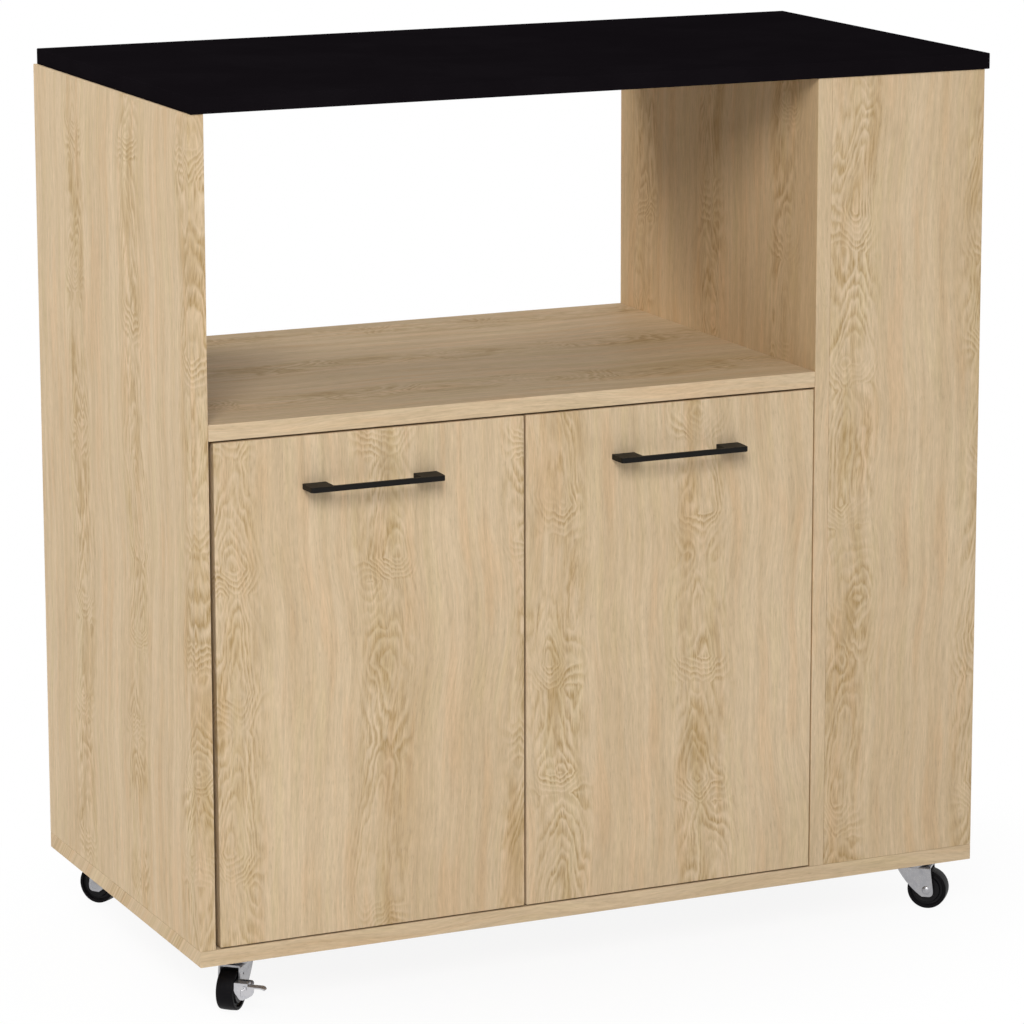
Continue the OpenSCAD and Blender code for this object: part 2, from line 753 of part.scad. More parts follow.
// End view of the lever's rear plate, about its pin: the inner edge keeps close to one circle,
// so that it nears the wheel's side evenly, and a foot reaches down beside the wheel
module lever_plate_outline() {
    polygon(concat(
        [[-lever_in * cos(20), lever_rim]],
        [for (turn = [16, 32, 46]) -lever_in * [cos(turn), sin(turn)]],
        [
            [-5.6, 1 - lever_foot], [-4.6, -lever_foot], [-1.2, -lever_foot], [-0.4, 1 - lever_foot],
            [3.4, -8.6], [lever_out - 2, -5.8], [lever_out - 0.5, -3],
            [lever_out, lever_rim - lever_step - lever_t], [lever_step_y, lever_rim - lever_step - lever_t],
            [lever_step_y, lever_rim]
        ]
    ));
}

// End view of the strip on top: a rim along the plates, a step down, and a tab for the foot,
// whose end bends down
module lever_top_outline() {
    step_x = lever_step_y - lever_t;
    tab_top = lever_rim - lever_step;
    translate([-lever_in * cos(20), lever_rim - lever_t])
        square([lever_in * cos(20) + lever_step_y, lever_t]);
    translate([step_x, tab_top - lever_t]) square([lever_t, lever_step + lever_t]);
    translate([step_x, tab_top - lever_t]) square([tab_flat - step_x, lever_t]);
    translate([tab_flat, tab_top - tab_bend]) intersection() {
        difference() {
            circle(tab_bend);
            circle(tab_bend - lever_t);
        }
        polygon([[0, 0], [0, 2 * tab_bend], 2 * tab_bend * [sin(tab_turn), cos(tab_turn)]]);
    }
}

// Stamped brake lever: two plates on the pin under one strip
module brake_lever() {
    tab_reach = tab_flat + tab_bend;
    difference() {
        union() {
            translate([lever_back - lever_t, brake_y, brake_z]) rotate([90, 0, 90])
                linear_extrude(lever_t) lever_plate_outline();
            translate([lever_front, brake_y, brake_z]) rotate([90, 0, 90]) linear_extrude(lever_t) {
                circle(ear_r + 1.2);
                translate([-ear_r - 1.2, 0]) square([ear_r + 1.2 + lever_step_y, lever_rim]);
            }
            intersection() {
                translate([lever_front, brake_y, brake_z]) rotate([90, 0, 90])
                    linear_extrude(lever_back - lever_front) lever_top_outline();
                translate([0, 0, brake_z - tab_reach]) linear_extrude(2 * tab_reach)
                    round_rect([lever_front, 0],
                        [lever_back, brake_y + tab_flat + tab_bend * sin(tab_turn)], tab_corner);
            }
            translate([lever_back - 1.2, brake_y - 2.8, brake_z - 2.4]) rotate([180, 0, 0]) {
                cylinder(r = 1.8, h = 4.6);
                for (z = [0, 4.6]) translate([0, 0, z]) sphere(1.8);
            }
        }
        translate([trail - 15, brake_y, brake_z]) rotate([0, 90, 0]) cylinder(d = brake_pin_d + 0.1, h = 40);
    }
}

module caster_screw() {
    translate([0, 0, plate_under - 2]) cylinder(d1 = 5, d2 = 7, h = 2);
    translate([0, 0, plate_under - 0.5]) cylinder(d = plate_screw_d, h = plate_t + 0.5 + plate_screw_in);
}

// Nodes

module worktop() color(black) in_frame() difference() {
    worktop_board();
    cam_bolt_cuts([for (cam = all_cams) if (cam[2].z > 0) cam]);
}
module left_side_panel() color(oak) in_frame() left_side_panel_board();
module partition_panel() color(oak) in_frame() partition_board();
module bottom_board() color(oak) in_frame() bottom_board_board();
module niche_shelf() color(oak) in_frame() niche_shelf_board();
module cabinet_back_panel() color(hardboard) in_frame()
    board([board_t, back_y, floor_top], [partition_x, back_y + back_t, shelf_under]);
module cabinet_shelf() color(oak) in_frame()
    board([board_t + cabinet_shelf_gap, cabinet_shelf_setback, floor_top + cabinet_shelf_rise],
        [partition_x - cabinet_shelf_gap, back_y - 1, floor_top + cabinet_shelf_rise + board_t]);
module shelf_pins() color(zinc) in_frame() for (spot = pin_spots)
    translate([spot[0] - spot[1] * pin_in, spot[2], pin_level])
        along([spot[1], 0, 0]) cylinder(d = pin_d, h = pin_in + pin_out);
module front_panel() color(oak) in_frame() bay_panel(0, front_panel_cams);
module rear_panel() color(oak) in_frame() bay_panel(body_d - board_t, rear_panel_cams);
module lower_bay_shelf() color(oak) in_frame() bay_shelf(1);
module middle_bay_shelf() color(oak) in_frame() bay_shelf(2);
module upper_bay_shelf() color(oak) in_frame() bay_shelf(3);
module cam_locks() color(zinc) in_frame() for (cam = all_cams) cam_lock(cam);
module cam_bolts() color(zinc) in_frame() for (cam = all_cams) cam_bolt(cam);

module left_door() color(oak) in_frame() left_hand()
    door(left_door_w, left_door_w + middle_gap / 2 - handle_to_meeting);
module right_door() color(oak) in_frame() right_hand()
    door(right_door_w, right_door_w + middle_gap / 2 - handle_to_meeting);
module left_handle() color(black) in_frame() translate([meeting_x - handle_to_meeting, 0, handle_z]) handle();
module right_handle() color(black) in_frame() translate([meeting_x + handle_to_meeting, 0, handle_z]) handle();
module left_handle_screws() color(zinc) in_frame()
    translate([meeting_x - handle_to_meeting, 0, handle_z]) handle_screws();
module right_handle_screws() color(zinc) in_frame()
    translate([meeting_x + handle_to_meeting, 0, handle_z]) handle_screws();
module left_hinge_cups() color(zinc) in_frame() left_hand() at_hinges() hinge_cup();
module right_hinge_cups() color(zinc) in_frame() right_hand() at_hinges() hinge_cup();
module left_hinge_pins() color(zinc) in_frame() left_hand() at_hinges() hinge_pin();
module right_hinge_pins() color(zinc) in_frame() right_hand() at_hinges() hinge_pin();
module left_hinge_arms() color(zinc) in_frame() left_hand() at_hinges() hinge_arm();
module right_hinge_arms() color(zinc) in_frame() right_hand() at_hinges() hinge_arm();
module left_hinge_plates() color(zinc) in_frame() left_hand() at_hinges() hinge_plate(left_gap);
module right_hinge_plates() color(zinc) in_frame() right_hand() at_hinges() hinge_plate(right_gap);
module left_strike_plate() color(zinc) in_frame() strike_plate(-1);
module right_strike_plate() color(zinc) in_frame() strike_plate(1);
module magnetic_catch() color(dark_plastic) in_frame() catch_body();

module front_left_caster_plate() color(zinc) in_frame() at_caster(0, false) caster_plate();
module front_left_caster_kingpin() color(zinc) in_frame() at_caster(0, false) kingpin();
module front_left_caster_fork() color(zinc) in_frame() at_caster(0) fork(true);
module front_left_caster_axle() color(zinc) in_frame() at_caster(0) axle();
module front_left_caster_wheel() color(dark_plastic) in_frame() at_caster(0) wheel();
module front_left_brake_pin() color(zinc) in_frame() at_caster(0) brake_pin();
module front_left_brake_lever() color(zinc) in_frame() at_caster(0) brake_lever();
module front_right_caster_plate() color(zinc) in_frame() at_caster(1, false) caster_plate();
module front_right_caster_kingpin() color(zinc) in_frame() at_caster(1, false) kingpin();
module front_right_caster_fork() color(zinc) in_frame() at_caster(1) fork(false);
module front_right_caster_axle() color(zinc) in_frame() at_caster(1) axle();
module front_right_caster_wheel() color(dark_plastic) in_frame() at_caster(1) wheel();
module rear_left_caster_plate() color(zinc) in_frame() at_caster(2, false) caster_plate();
module rear_left_caster_kingpin() color(zinc) in_frame() at_caster(2, false) kingpin();
module rear_left_caster_fork() color(zinc) in_frame() at_caster(2) fork(false);
module rear_left_caster_axle() color(zinc) in_frame() at_caster(2) axle();
module rear_left_caster_wheel() color(dark_plastic) in_frame() at_caster(2) wheel();
module rear_right_caster_plate() color(zinc) in_frame() at_caster(3, false) caster_plate();
module rear_right_caster_kingpin() color(zinc) in_frame() at_caster(3, false) kingpin();
module rear_right_caster_fork() color(zinc) in_frame() at_caster(3) fork(true);
module rear_right_caster_axle() color(zinc) in_frame() at_caster(3) axle();
module rear_right_caster_wheel() color(dark_plastic) in_frame() at_caster(3) wheel();
module rear_right_brake_pin() color(zinc) in_frame() at_caster(3) brake_pin();
module rear_right_brake_lever() color(zinc) in_frame() at_caster(3) brake_lever();
module caster_screws() color(zinc) in_frame() for (caster = casters) plate_screw_spots(caster) caster_screw();

worktop();
left_side_panel();
partition_panel();
bottom_board();
niche_shelf();
cabinet_back_panel();
cabinet_shelf();
shelf_pins();
front_panel();
rear_panel();
lower_bay_shelf();
middle_bay_shelf();
upper_bay_shelf();
cam_locks();
cam_bolts();
left_door();
left_handle();
left_handle_screws();
left_hinge_cups();
left_hinge_pins();
left_hinge_arms();
left_hinge_plates();
left_strike_plate();
right_door();
right_handle();
right_handle_screws();
right_hinge_cups();
right_hinge_pins();
right_hinge_arms();
right_hinge_plates();
right_strike_plate();
magnetic_catch();
front_left_caster_plate();
front_left_caster_kingpin();
front_left_caster_fork();
front_left_caster_axle();
front_left_caster_wheel();
front_left_brake_pin();
front_left_brake_lever();
front_right_caster_plate();
front_right_caster_kingpin();
front_right_caster_fork();
front_right_caster_axle();
front_right_caster_wheel();
rear_left_caster_plate();
rear_left_caster_kingpin();
rear_left_caster_fork();
rear_left_caster_axle();
rear_left_caster_wheel();
rear_right_caster_plate();
rear_right_caster_kingpin();
rear_right_caster_fork();
rear_right_caster_axle();
rear_right_caster_wheel();
rear_right_brake_pin();
rear_right_brake_lever();
caster_screws();
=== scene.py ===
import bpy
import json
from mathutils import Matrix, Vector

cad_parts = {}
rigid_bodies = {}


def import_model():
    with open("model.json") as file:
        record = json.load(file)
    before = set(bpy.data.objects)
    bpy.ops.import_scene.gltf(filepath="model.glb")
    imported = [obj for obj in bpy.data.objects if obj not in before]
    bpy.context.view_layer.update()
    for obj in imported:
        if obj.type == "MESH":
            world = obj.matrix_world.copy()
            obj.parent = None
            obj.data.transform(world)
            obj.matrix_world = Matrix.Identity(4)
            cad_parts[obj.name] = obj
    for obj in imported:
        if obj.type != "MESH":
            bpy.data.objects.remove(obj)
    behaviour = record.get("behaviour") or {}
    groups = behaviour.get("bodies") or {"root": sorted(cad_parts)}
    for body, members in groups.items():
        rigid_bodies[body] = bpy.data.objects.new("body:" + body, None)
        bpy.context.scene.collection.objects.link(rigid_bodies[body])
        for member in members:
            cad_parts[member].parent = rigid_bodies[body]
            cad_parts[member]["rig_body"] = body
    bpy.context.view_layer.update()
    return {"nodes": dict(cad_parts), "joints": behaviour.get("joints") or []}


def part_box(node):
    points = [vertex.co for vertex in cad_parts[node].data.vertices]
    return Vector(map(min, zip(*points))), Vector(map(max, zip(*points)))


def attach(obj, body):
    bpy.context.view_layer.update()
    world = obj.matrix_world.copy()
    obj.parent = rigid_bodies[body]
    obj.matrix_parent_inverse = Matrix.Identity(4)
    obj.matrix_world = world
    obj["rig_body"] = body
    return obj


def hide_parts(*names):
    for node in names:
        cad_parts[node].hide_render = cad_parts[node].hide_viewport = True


bl_info = {
    "name": "Kitchen Cart",
    "version": (1, 0, 0),
    "blender": (4, 5, 0),
    "location": "3D View > Sidebar > Kitchen Cart",
    "description": "Finishes the kitchen cart: laminated boards, doors, handles, hinges and casters",
    "category": "Object",
}

import json
import math

import bmesh
import bpy
from bpy.props import FloatProperty, FloatVectorProperty, PointerProperty
from bpy.types import Operator, Panel, PropertyGroup
from mathutils import Matrix, Vector

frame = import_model()

X, Y, Z = Vector((1, 0, 0)), Vector((0, 1, 0)), Vector((0, 0, 1))
MM = 0.001
WHITE = (1, 1, 1, 1)

# What all colour settings have in common
COLOUR = {"subtype": "COLOR", "size": 3, "min": 0, "max": 1}


# Sizes and colours that the panel shows


class OakSettings(PropertyGroup):
    """The oak laminate of the boards and doors."""

    light: FloatVectorProperty(
        name="Light wood", description="Colour of the wood between the growth lines",
        **COLOUR, default=(0.603, 0.468, 0.311))
    shade: FloatVectorProperty(
        name="Streaks", description="Colour of the soft darker streaks",
        **COLOUR, default=(0.521, 0.388, 0.240))
    line: FloatVectorProperty(
        name="Growth lines", description="Colour of the growth lines in the figured strips",
        **COLOUR, default=(0.372, 0.244, 0.098))
    strip_spacing: FloatProperty(
        name="Figure spacing", description="Distance between the figured strips of the print",
        unit="LENGTH", default=0.150, min=0.02)
    line_spacing: FloatProperty(
        name="Line spacing", description="Distance between growth lines beside a figured strip",
        unit="LENGTH", default=0.0052, min=0.001)
    # Painted shade: the print on the niche's faces is made warmer and darker, standing in for the niche's
    # warm shade
    painted_shade_warmth: FloatProperty(
        name="Niche warmth", description="How much warmer the print is on the faces of the niche",
        subtype="FACTOR", default=0.20, min=0, max=0.5)
    edge: FloatProperty(
        name="Edge radius", description="Rounding of the boards' long edges",
        unit="LENGTH", default=0.0006, min=0)
    core: FloatVectorProperty(
        name="Chipboard", description="Colour of the bare chipboard inside drilled holes",
        **COLOUR, default=(0.38, 0.25, 0.14))


class WorktopSettings(PropertyGroup):
    """The black worktop."""

    colour: FloatVectorProperty(
        name="Colour", description="Colour of the black laminate",
        **COLOUR, default=(0.0058, 0.0046, 0.0058))
    roughness: FloatProperty(
        name="Roughness", description="Roughness of the black laminate",
        subtype="FACTOR", default=0.60, min=0, max=1)
    edge: FloatProperty(
        name="Edge radius", description="Rounding of the worktop's edges",
        unit="LENGTH", default=0.0008, min=0)


class MetalSettings(PropertyGroup):
    """Handles, hinges and the steel of the casters."""

    zinc: FloatVectorProperty(
        name="Zinc plate", description="Colour of the zinc-plated steel",
        **COLOUR, default=(0.37, 0.365, 0.375))
    nickel: FloatVectorProperty(
        name="Nickel plate", description="Colour of the hinges",
        **COLOUR, default=(0.66, 0.64, 0.60))
    handle: FloatVectorProperty(
        name="Handle coat", description="Colour of the handles' powder coat",
        **COLOUR, default=(0.0060, 0.0052, 0.0044))
    edge: FloatProperty(
        name="Edge radius", description="Rounding of the edges of stamped and cast metal",
        unit="LENGTH", default=0.00035, min=0)


class CasterSettings(PropertyGroup):
    """The casters' wheels."""

    rubber: FloatVectorProperty(
        name="Tread", description="Colour of the wheels' tread",
        **COLOUR, default=(0.0036, 0.0032, 0.0040))
    plastic: FloatVectorProperty(
        name="Wheel centre", description="Colour of the wheels' centres",
        **COLOUR, default=(0.0060, 0.0056, 0.0066))
    crown: FloatProperty(
        name="Tread crown", description="How far the tread's middle stands over its sides",
        unit="LENGTH", default=0.0003, min=0)
    dish: FloatProperty(
        name="Wheel dish", description="How far the wheel's face is sunk between its hub and its groove",
        unit="LENGTH", default=0.0006, min=0, max=0.002)


class FittingSettings(PropertyGroup):
    """Screws that the scene adds, and the magnetic catch."""

    head: FloatProperty(
        name="Screw head", description="Diameter of the screws' heads on the hinges",
        unit="LENGTH", default=0.0068, min=0.002)
    height: FloatProperty(
        name="Head height", description="Height of the screws' heads on the hinges and the catch",
        unit="LENGTH", default=0.0016, min=0.0002)
    recess: FloatProperty(
        name="Recess width", description="Width of the slots of a screw's cross recess",
        unit="LENGTH", default=0.0009, min=0.0001)
    plastic: FloatVectorProperty(
        name="Catch", description="Colour of the magnetic catch's plastic",
        **COLOUR, default=(0.045, 0.045, 0.047))


class StageSettings(PropertyGroup):
    """Floor, light and camera."""

    floor: FloatVectorProperty(
        name="Floor", description="Colour of the floor under the cart",
        **COLOUR, default=(0.86, 0.86, 0.86))
    ambient: FloatProperty(
        name="Ambient light", description="Strength of the even light from all round",
        default=0.40, min=0)
    behind: FloatProperty(
        name="Light from behind", description="Share of the ambient light that comes from behind the cart",
        subtype="FACTOR", default=0.90, min=0, max=1)
    key: FloatProperty(
        name="Key light", description="Power of the large lamp over the front left",
        subtype="POWER", unit="POWER", default=154, min=0)
    side: FloatProperty(
        name="Side light", description="Power of the lamp over the rear left",
        subtype="POWER", unit="POWER", default=65, min=0)
    fill: FloatProperty(
        name="Fill light", description="Power of the weak lamp over the rear right",
        subtype="POWER", unit="POWER", default=22, min=0)
    lens: FloatProperty(
        name="Lens", description="Focal length of the camera in millimetres",
        default=156.57, min=1)


class CartSettings(PropertyGroup):
    """All sizes and colours of the kitchen cart."""

    oak: PointerProperty(type=OakSettings)
    worktop: PointerProperty(type=WorktopSettings)
    metal: PointerProperty(type=MetalSettings)
    caster: PointerProperty(type=CasterSettings)
    fitting: PointerProperty(type=FittingSettings)
    stage: PointerProperty(type=StageSettings)


# Shader nodes

# Sizes of the oak print's parts in millimetres, across and along the grain
SWAY, KNOTS, WAVES, PATCHY, BOLD = (400, 240), (34, 150), (9, 30), (34, 110), (2.3, 45)
STREAKS, BROAD, OCHRE, WARM = (15, 460), (90, 300), (16, 75), (13, 130)
FINE, COARSE, PORES, PORE_FIELDS = (1.25, 15), (3.6, 80), (1.2, 8), (16, 60)

# How far the strips sway, and how far knots, waves and peaks bend their growth lines
SWAY_REACH, KNOT_REACH, WAVE_REACH, PEAK_REACH = 0.040, 0.056, 0.010, 0.024

# Half width of a strip's round core, length of a peak and the share of it that rises
STRIP_CORE, PEAK_LENGTH, PEAK_RISE = 0.012, 0.135, 0.74

# Distances from a strip's middle between which the bends and the growth lines fade out
BEND_FADE, LINE_FADE = (0.006, 0.050), (0.012, 0.038)

# How strongly ochre patches and growth lines are printed, and the tints of the streaks
OCHRE_PRINT, LINE_PRINT = 0.46, 0.50
WARM_TINT, COOL_TINT = (1.03, 0.955, 0.90, 1), (0.985, 1.005, 0.95, 1)

# How much the niche's painted shade takes from green, as a share of what it takes from blue
PAINTED_SHADE_GREEN = 0.42

# Rolling lines and scratches of plated steel, in waves per metre along x, y and z
ROLLING, SCRATCHES = (220, 220, 2600), (2400, 300, 420)


def fill(tree, node, inputs):
    """Sets inputs of a node to values, or links them to other nodes' outputs."""
    for key, value in inputs.items():
        if isinstance(value, bpy.types.NodeSocket):
            tree.links.new(value, node.inputs[key])
        else:
            node.inputs[key].default_value = value


def wire(tree, kind, inputs, **settings):
    """Adds a node, sets its options and fills or links its inputs."""
    node = tree.nodes.new(kind)
    for name, value in settings.items():
        setattr(node, name, value)
    fill(tree, node, inputs)
    return node


def sums(tree, operation, a, b=0.0, clamp=False):
    """One step of arithmetic on masks and lengths."""
    return wire(tree, "ShaderNodeMath", {0: a, 1: b}, operation=operation, use_clamp=clamp).outputs[0]


def plus(tree, a, b, clamp=False):
    return sums(tree, "ADD", a, b, clamp)


def minus(tree, a, b):
    return sums(tree, "SUBTRACT", a, b)


def times(tree, a, b):
    return sums(tree, "MULTIPLY", a, b)


def centred(tree, value, reach):
    """Makes a noise swing round zero, with the reach as its whole width."""
    return times(tree, minus(tree, value, 0.5), reach)


def dot(tree, a, b):
    """How far one vector runs along another."""
    return wire(tree, "ShaderNodeVectorMath", {0: a, 1: b}, operation="DOT_PRODUCT").outputs[1]


def scaled(tree, vector, factors):
    """A vector with each of its parts multiplied by its own factor."""
    return wire(tree, "ShaderNodeVectorMath", {0: vector, 1: factors}, operation="MULTIPLY").outputs[0]


def grown_by(tree, vector, factor):
    """A vector made longer by one factor."""
    return wire(tree, "ShaderNodeVectorMath", {0: vector, 3: factor}, operation="SCALE").outputs[0]


def blend_colours(tree, factor, a, b, mode="MIX"):
    """Lays colour b over colour a, as strongly as the factor says."""
    node = wire(tree, "ShaderNodeMix", {0: factor, 6: a, 7: b}, data_type="RGBA", blend_type=mode)
    return node.outputs[2]


def ramp(tree, value, low, high, to_low=0.0, to_high=1.0):
    """Carries a value smoothly from one span to another, held at the ends."""
    return wire(
        tree, "ShaderNodeMapRange",
        {"Value": value, "From Min": low, "From Max": high, "To Min": to_low, "To Max": to_high},
        interpolation_type="SMOOTHSTEP").outputs[0]


def noise(tree, place, scale, detail, roughness=0.5, distortion=0.0):
    """Soft noise from 0 to 1."""
    return wire(
        tree, "ShaderNodeTexNoise",
        {"Vector": place, "Scale": scale, "Detail": detail, "Roughness": roughness,
         "Distortion": distortion}).outputs[0]


def looked_at(tree):
    """1 for what the camera sees straight, by reflection or through glass, and 0 for light."""
    seen = tree.nodes.new("ShaderNodeLightPath").outputs
    either = sums(tree, "MAXIMUM", seen["Is Camera Ray"], seen["Is Glossy Ray"])
    return sums(tree, "MAXIMUM", either, seen["Is Transmission Ray"])


def group_with(name, inputs, outputs):
    """A new shader node group and its two end nodes. Its sockets hold one number, a vector of
    three or a colour of four: inputs come with their defaults, and outputs with that count."""
    kinds = {1: "NodeSocketFloat", 3: "NodeSocketVector", 4: "NodeSocketColor"}
    group = bpy.data.node_groups.new(name, "ShaderNodeTree")
    for label, default in inputs.items():
        kind = kinds[len(default) if isinstance(default, tuple) else 1]
        socket = group.interface.new_socket(name=label, in_out="INPUT", socket_type=kind)
        socket.default_value = default
    for label, count in outputs.items():
        group.interface.new_socket(name=label, in_out="OUTPUT", socket_type=kinds[count])
    return group, group.nodes.new("NodeGroupInput"), group.nodes.new("NodeGroupOutput")


def oak_figure(name):
    """Oak print: figured strips of looping growth lines, straight grain between them, soft
    streaks, fine fibres and short pores."""
    g, start, end = group_with(
        name,
        {"Place": (0, 0, 0), "Across": (1, 1, 0), "Along": (0, 0, 1), "Strip shift": 0.0, "Seed": 0.0,
         "Strip spacing": 0.15, "Line spacing": 0.0052, "Light": WHITE, "Shade": (0.5, 0.5, 0.5, 1),
         "Line": (0, 0, 0, 1)},
        {"Color": 4, "Roughness": 1, "Height": 1})
    got = start.outputs
    across = minus(g, dot(g, got["Place"], got["Across"]), got["Strip shift"])
    along = dot(g, got["Place"], got["Along"])
    seed = got["Seed"]

    def drawn_noise(place, size, detail=1.0, roughness=0.5, apart=0.0):
        """Noise of a size in millimetres. Noises that lie apart don't follow one another."""
        wide = sums(g, "DIVIDE", place, size[0] * MM)
        long = sums(g, "DIVIDE", along, size[1] * MM)
        layer = plus(g, seed, apart) if apart else seed
        at = wire(g, "ShaderNodeCombineXYZ", {0: wide, 1: long, 2: layer}).outputs[0]
        return noise(g, at, 1.0, detail, roughness)

    # The strips sway a little, and the growth lines follow them
    sway = drawn_noise(across, SWAY)
    swayed = plus(g, across, centred(g, sway, SWAY_REACH))
    off = sums(g, "PINGPONG", swayed, times(g, got["Strip spacing"], 0.5))
    soft = sums(g, "SQRT", plus(g, sums(g, "POWER", off, 2.0), STRIP_CORE ** 2))
    soft = minus(g, soft, STRIP_CORE)
    knots = centred(g, drawn_noise(swayed, KNOTS, roughness=0.4), KNOT_REACH)
    waves = centred(g, drawn_noise(swayed, WAVES, 1.5), WAVE_REACH)
    fine = drawn_noise(swayed, FINE, 2.0, 0.6)

    # Peaks climb along each strip, rise slowly and fall fast
    climb = plus(g, sums(g, "DIVIDE", along, PEAK_LENGTH), times(g, sway, 1.8))
    climb = sums(g, "FRACT", plus(g, climb, times(g, seed, 0.37)))
    rise = sums(g, "DIVIDE", climb, PEAK_RISE)
    fall = sums(g, "DIVIDE", minus(g, 1.0, climb), 1 - PEAK_RISE)
    peaks = times(g, sums(g, "MINIMUM", rise, fall), PEAK_REACH)
    bend = times(g, plus(g, plus(g, knots, waves), peaks), ramp(g, off, *BEND_FADE, 1.0, 0.10))
    field = sums(g, "DIVIDE", plus(g, soft, bend), got["Line spacing"])
    field = plus(g, field, times(g, fine, 0.6))

    # Each growth line is sharp on one side and fades on the other
    step = sums(g, "FRACT", field)
    rings = sums(g, "MINIMUM", ramp(g, step, 0.0, 0.22), ramp(g, step, 0.22, 0.95, 1.0, 0.0))
    patchy = ramp(g, drawn_noise(across, PATCHY), 0.30, 0.58, 0.35, 1.0)
    strong = times(g, ramp(g, off, *LINE_FADE, 1.0, 0.0), patchy)
    lines = times(g, rings, plus(g, times(g, strong, 0.90), 0.10))
    bold = drawn_noise(times(g, field, MM), BOLD, apart=1.7)
    lines = times(g, lines, ramp(g, bold, 0.36, 0.60, 0.42, 1.30))
    lines = times(g, lines, ramp(g, fine, 0.36, 0.62, 1.35, 0.55))

    # Soft streaks, broad changes of tone, and darker ochre patches in the figured strips
    streak = ramp(g, drawn_noise(swayed, STREAKS, 2.0, 0.55), 0.32, 0.70, 0.0, 0.66)
    broad = ramp(g, drawn_noise(across, BROAD), 0.3, 0.7, -0.08, 0.16)
    tone = plus(g, streak, broad, clamp=True)
    patch = ramp(g, drawn_noise(swayed, OCHRE, 2.0, apart=7.3), 0.45, 0.72)
    ochre = times(g, plus(g, times(g, strong, 0.85), 0.15), patch)

    # Fibres of two widths, and short dark pores
    coarse = drawn_noise(swayed, COARSE, 2.0, 0.6, 2.2)
    pore = ramp(g, drawn_noise(swayed, PORES, apart=3.1), 0.58, 0.74)
    fields = ramp(g, drawn_noise(across, PORE_FIELDS, apart=5.7), 0.38, 0.62, 0.30, 1.0)
    pores = times(g, pore, fields)
    fibre = plus(g, centred(g, fine, 0.42), centred(g, coarse, 0.34))
    level = plus(g, 1.0, minus(g, fibre, times(g, pores, 0.10)))
    level = plus(g, level, times(g, times(g, ramp(g, step, 0.62, 0.96), strong), 0.05))

    # The wood is warmer in some streaks and cooler in others
    base = blend_colours(g, tone, got["Light"], got["Shade"])
    warm = drawn_noise(swayed, WARM, 1.5, apart=4.4)
    base = blend_colours(g, ramp(g, warm, 0.52, 0.70, 0.0, 0.60), base, WARM_TINT, "MULTIPLY")
    base = blend_colours(g, ramp(g, warm, 0.46, 0.30, 0.0, 0.60), base, COOL_TINT, "MULTIPLY")
    base = blend_colours(g, times(g, ochre, OCHRE_PRINT), base, got["Line"])
    base = blend_colours(g, times(g, lines, LINE_PRINT), base, got["Line"])

    rough = plus(g, plus(g, 0.50, times(g, pores, 0.16)), times(g, fine, 0.08))
    height = minus(g, minus(g, times(g, fine, 0.25), pores), times(g, lines, 0.25))
    fill(g, end, {"Color": grown_by(g, base, level), "Roughness": rough, "Height": height})
    return g


def moulded_skin(name):
    """The fine grain of moulded plastic, powder coat and pressed laminate, with faint smudges."""
    g, start, end = group_with(
        name,
        {"Place": (0, 0, 0), "Grain size": 0.0008, "Roughness": 0.5, "Smudge": 0.1},
        {"Height": 1, "Roughness": 1, "Mask": 1})
    got = start.outputs
    place = grown_by(g, got["Place"], sums(g, "DIVIDE", 1.0, got["Grain size"]))
    grain = noise(g, place, 1.0, 2.0, 0.6)
    smudge = noise(g, got["Place"], 11.0, 3.0, 0.6, 0.4)
    rough = plus(g, got["Roughness"], centred(g, grain, 0.12))
    rough = plus(g, rough, centred(g, smudge, got["Smudge"]), clamp=True)
    fill(g, end, {"Height": grain, "Roughness": rough, "Mask": ramp(g, smudge, 0.35, 0.7)})
    return g


def plated_steel(name):
    """Zinc or nickel plate on stamped steel: cloudy tone, rolling lines and small scratches."""
    g, start, end = group_with(
        name,
        {"Place": (0, 0, 0), "Colour": (0.6, 0.6, 0.6, 1), "Roughness": 0.3},
        {"Color": 4, "Roughness": 1, "Height": 1})
    got = start.outputs
    cloud = noise(g, got["Place"], 140.0, 3.0, 0.6, 0.3)
    rolled = noise(g, scaled(g, got["Place"], ROLLING), 1.0, 2.0, 0.6)
    scratch = ramp(g, noise(g, scaled(g, got["Place"], SCRATCHES), 1.0, 1.0), 0.66, 0.74)
    dull = ramp(g, cloud, 0.35, 0.7, 0.0, 0.5)
    tone = blend_colours(g, dull, got["Colour"], (0.78, 0.80, 0.84, 1), "MULTIPLY")
    tone = blend_colours(g, times(g, scratch, 0.3), tone, (0.85, 0.85, 0.87, 1))
    rough = plus(g, got["Roughness"], ramp(g, cloud, 0.3, 0.7, -0.06, 0.12))
    rough = plus(g, rough, centred(g, rolled, 0.14), clamp=True)
    fill(g, end, {"Color": tone, "Roughness": rough, "Height": minus(g, times(g, rolled, 0.6), scratch)})
    return g


# Materials


def blank_material(name):
    """A material with a Principled BSDF, and the object's own coordinates."""
    material = bpy.data.materials.new(name)
    material.use_nodes = True
    tree = material.node_tree
    tree.nodes.clear()
    shader = tree.nodes.new("ShaderNodeBsdfPrincipled")
    wire(tree, "ShaderNodeOutputMaterial", {"Surface": shader.outputs[0]})
    place = tree.nodes.new("ShaderNodeTexCoord").outputs["Object"]
    return material, tree, shader, place


def placed(tree, name, build, inputs):
    """Places a node group with its own values. The first time, the group is built."""
    group = bpy.data.node_groups.get(name) or build(name)
    return wire(tree, "ShaderNodeGroup", inputs, node_tree=group).outputs


def relief(tree, shader, height, depth):
    """Feeds a height to the shader's normal, with its depth in metres."""
    bump = wire(tree, "ShaderNodeBump", {"Strength": 1.0, "Distance": depth, "Height": height})
    fill(tree, shader, {"Normal": bump.outputs[0]})


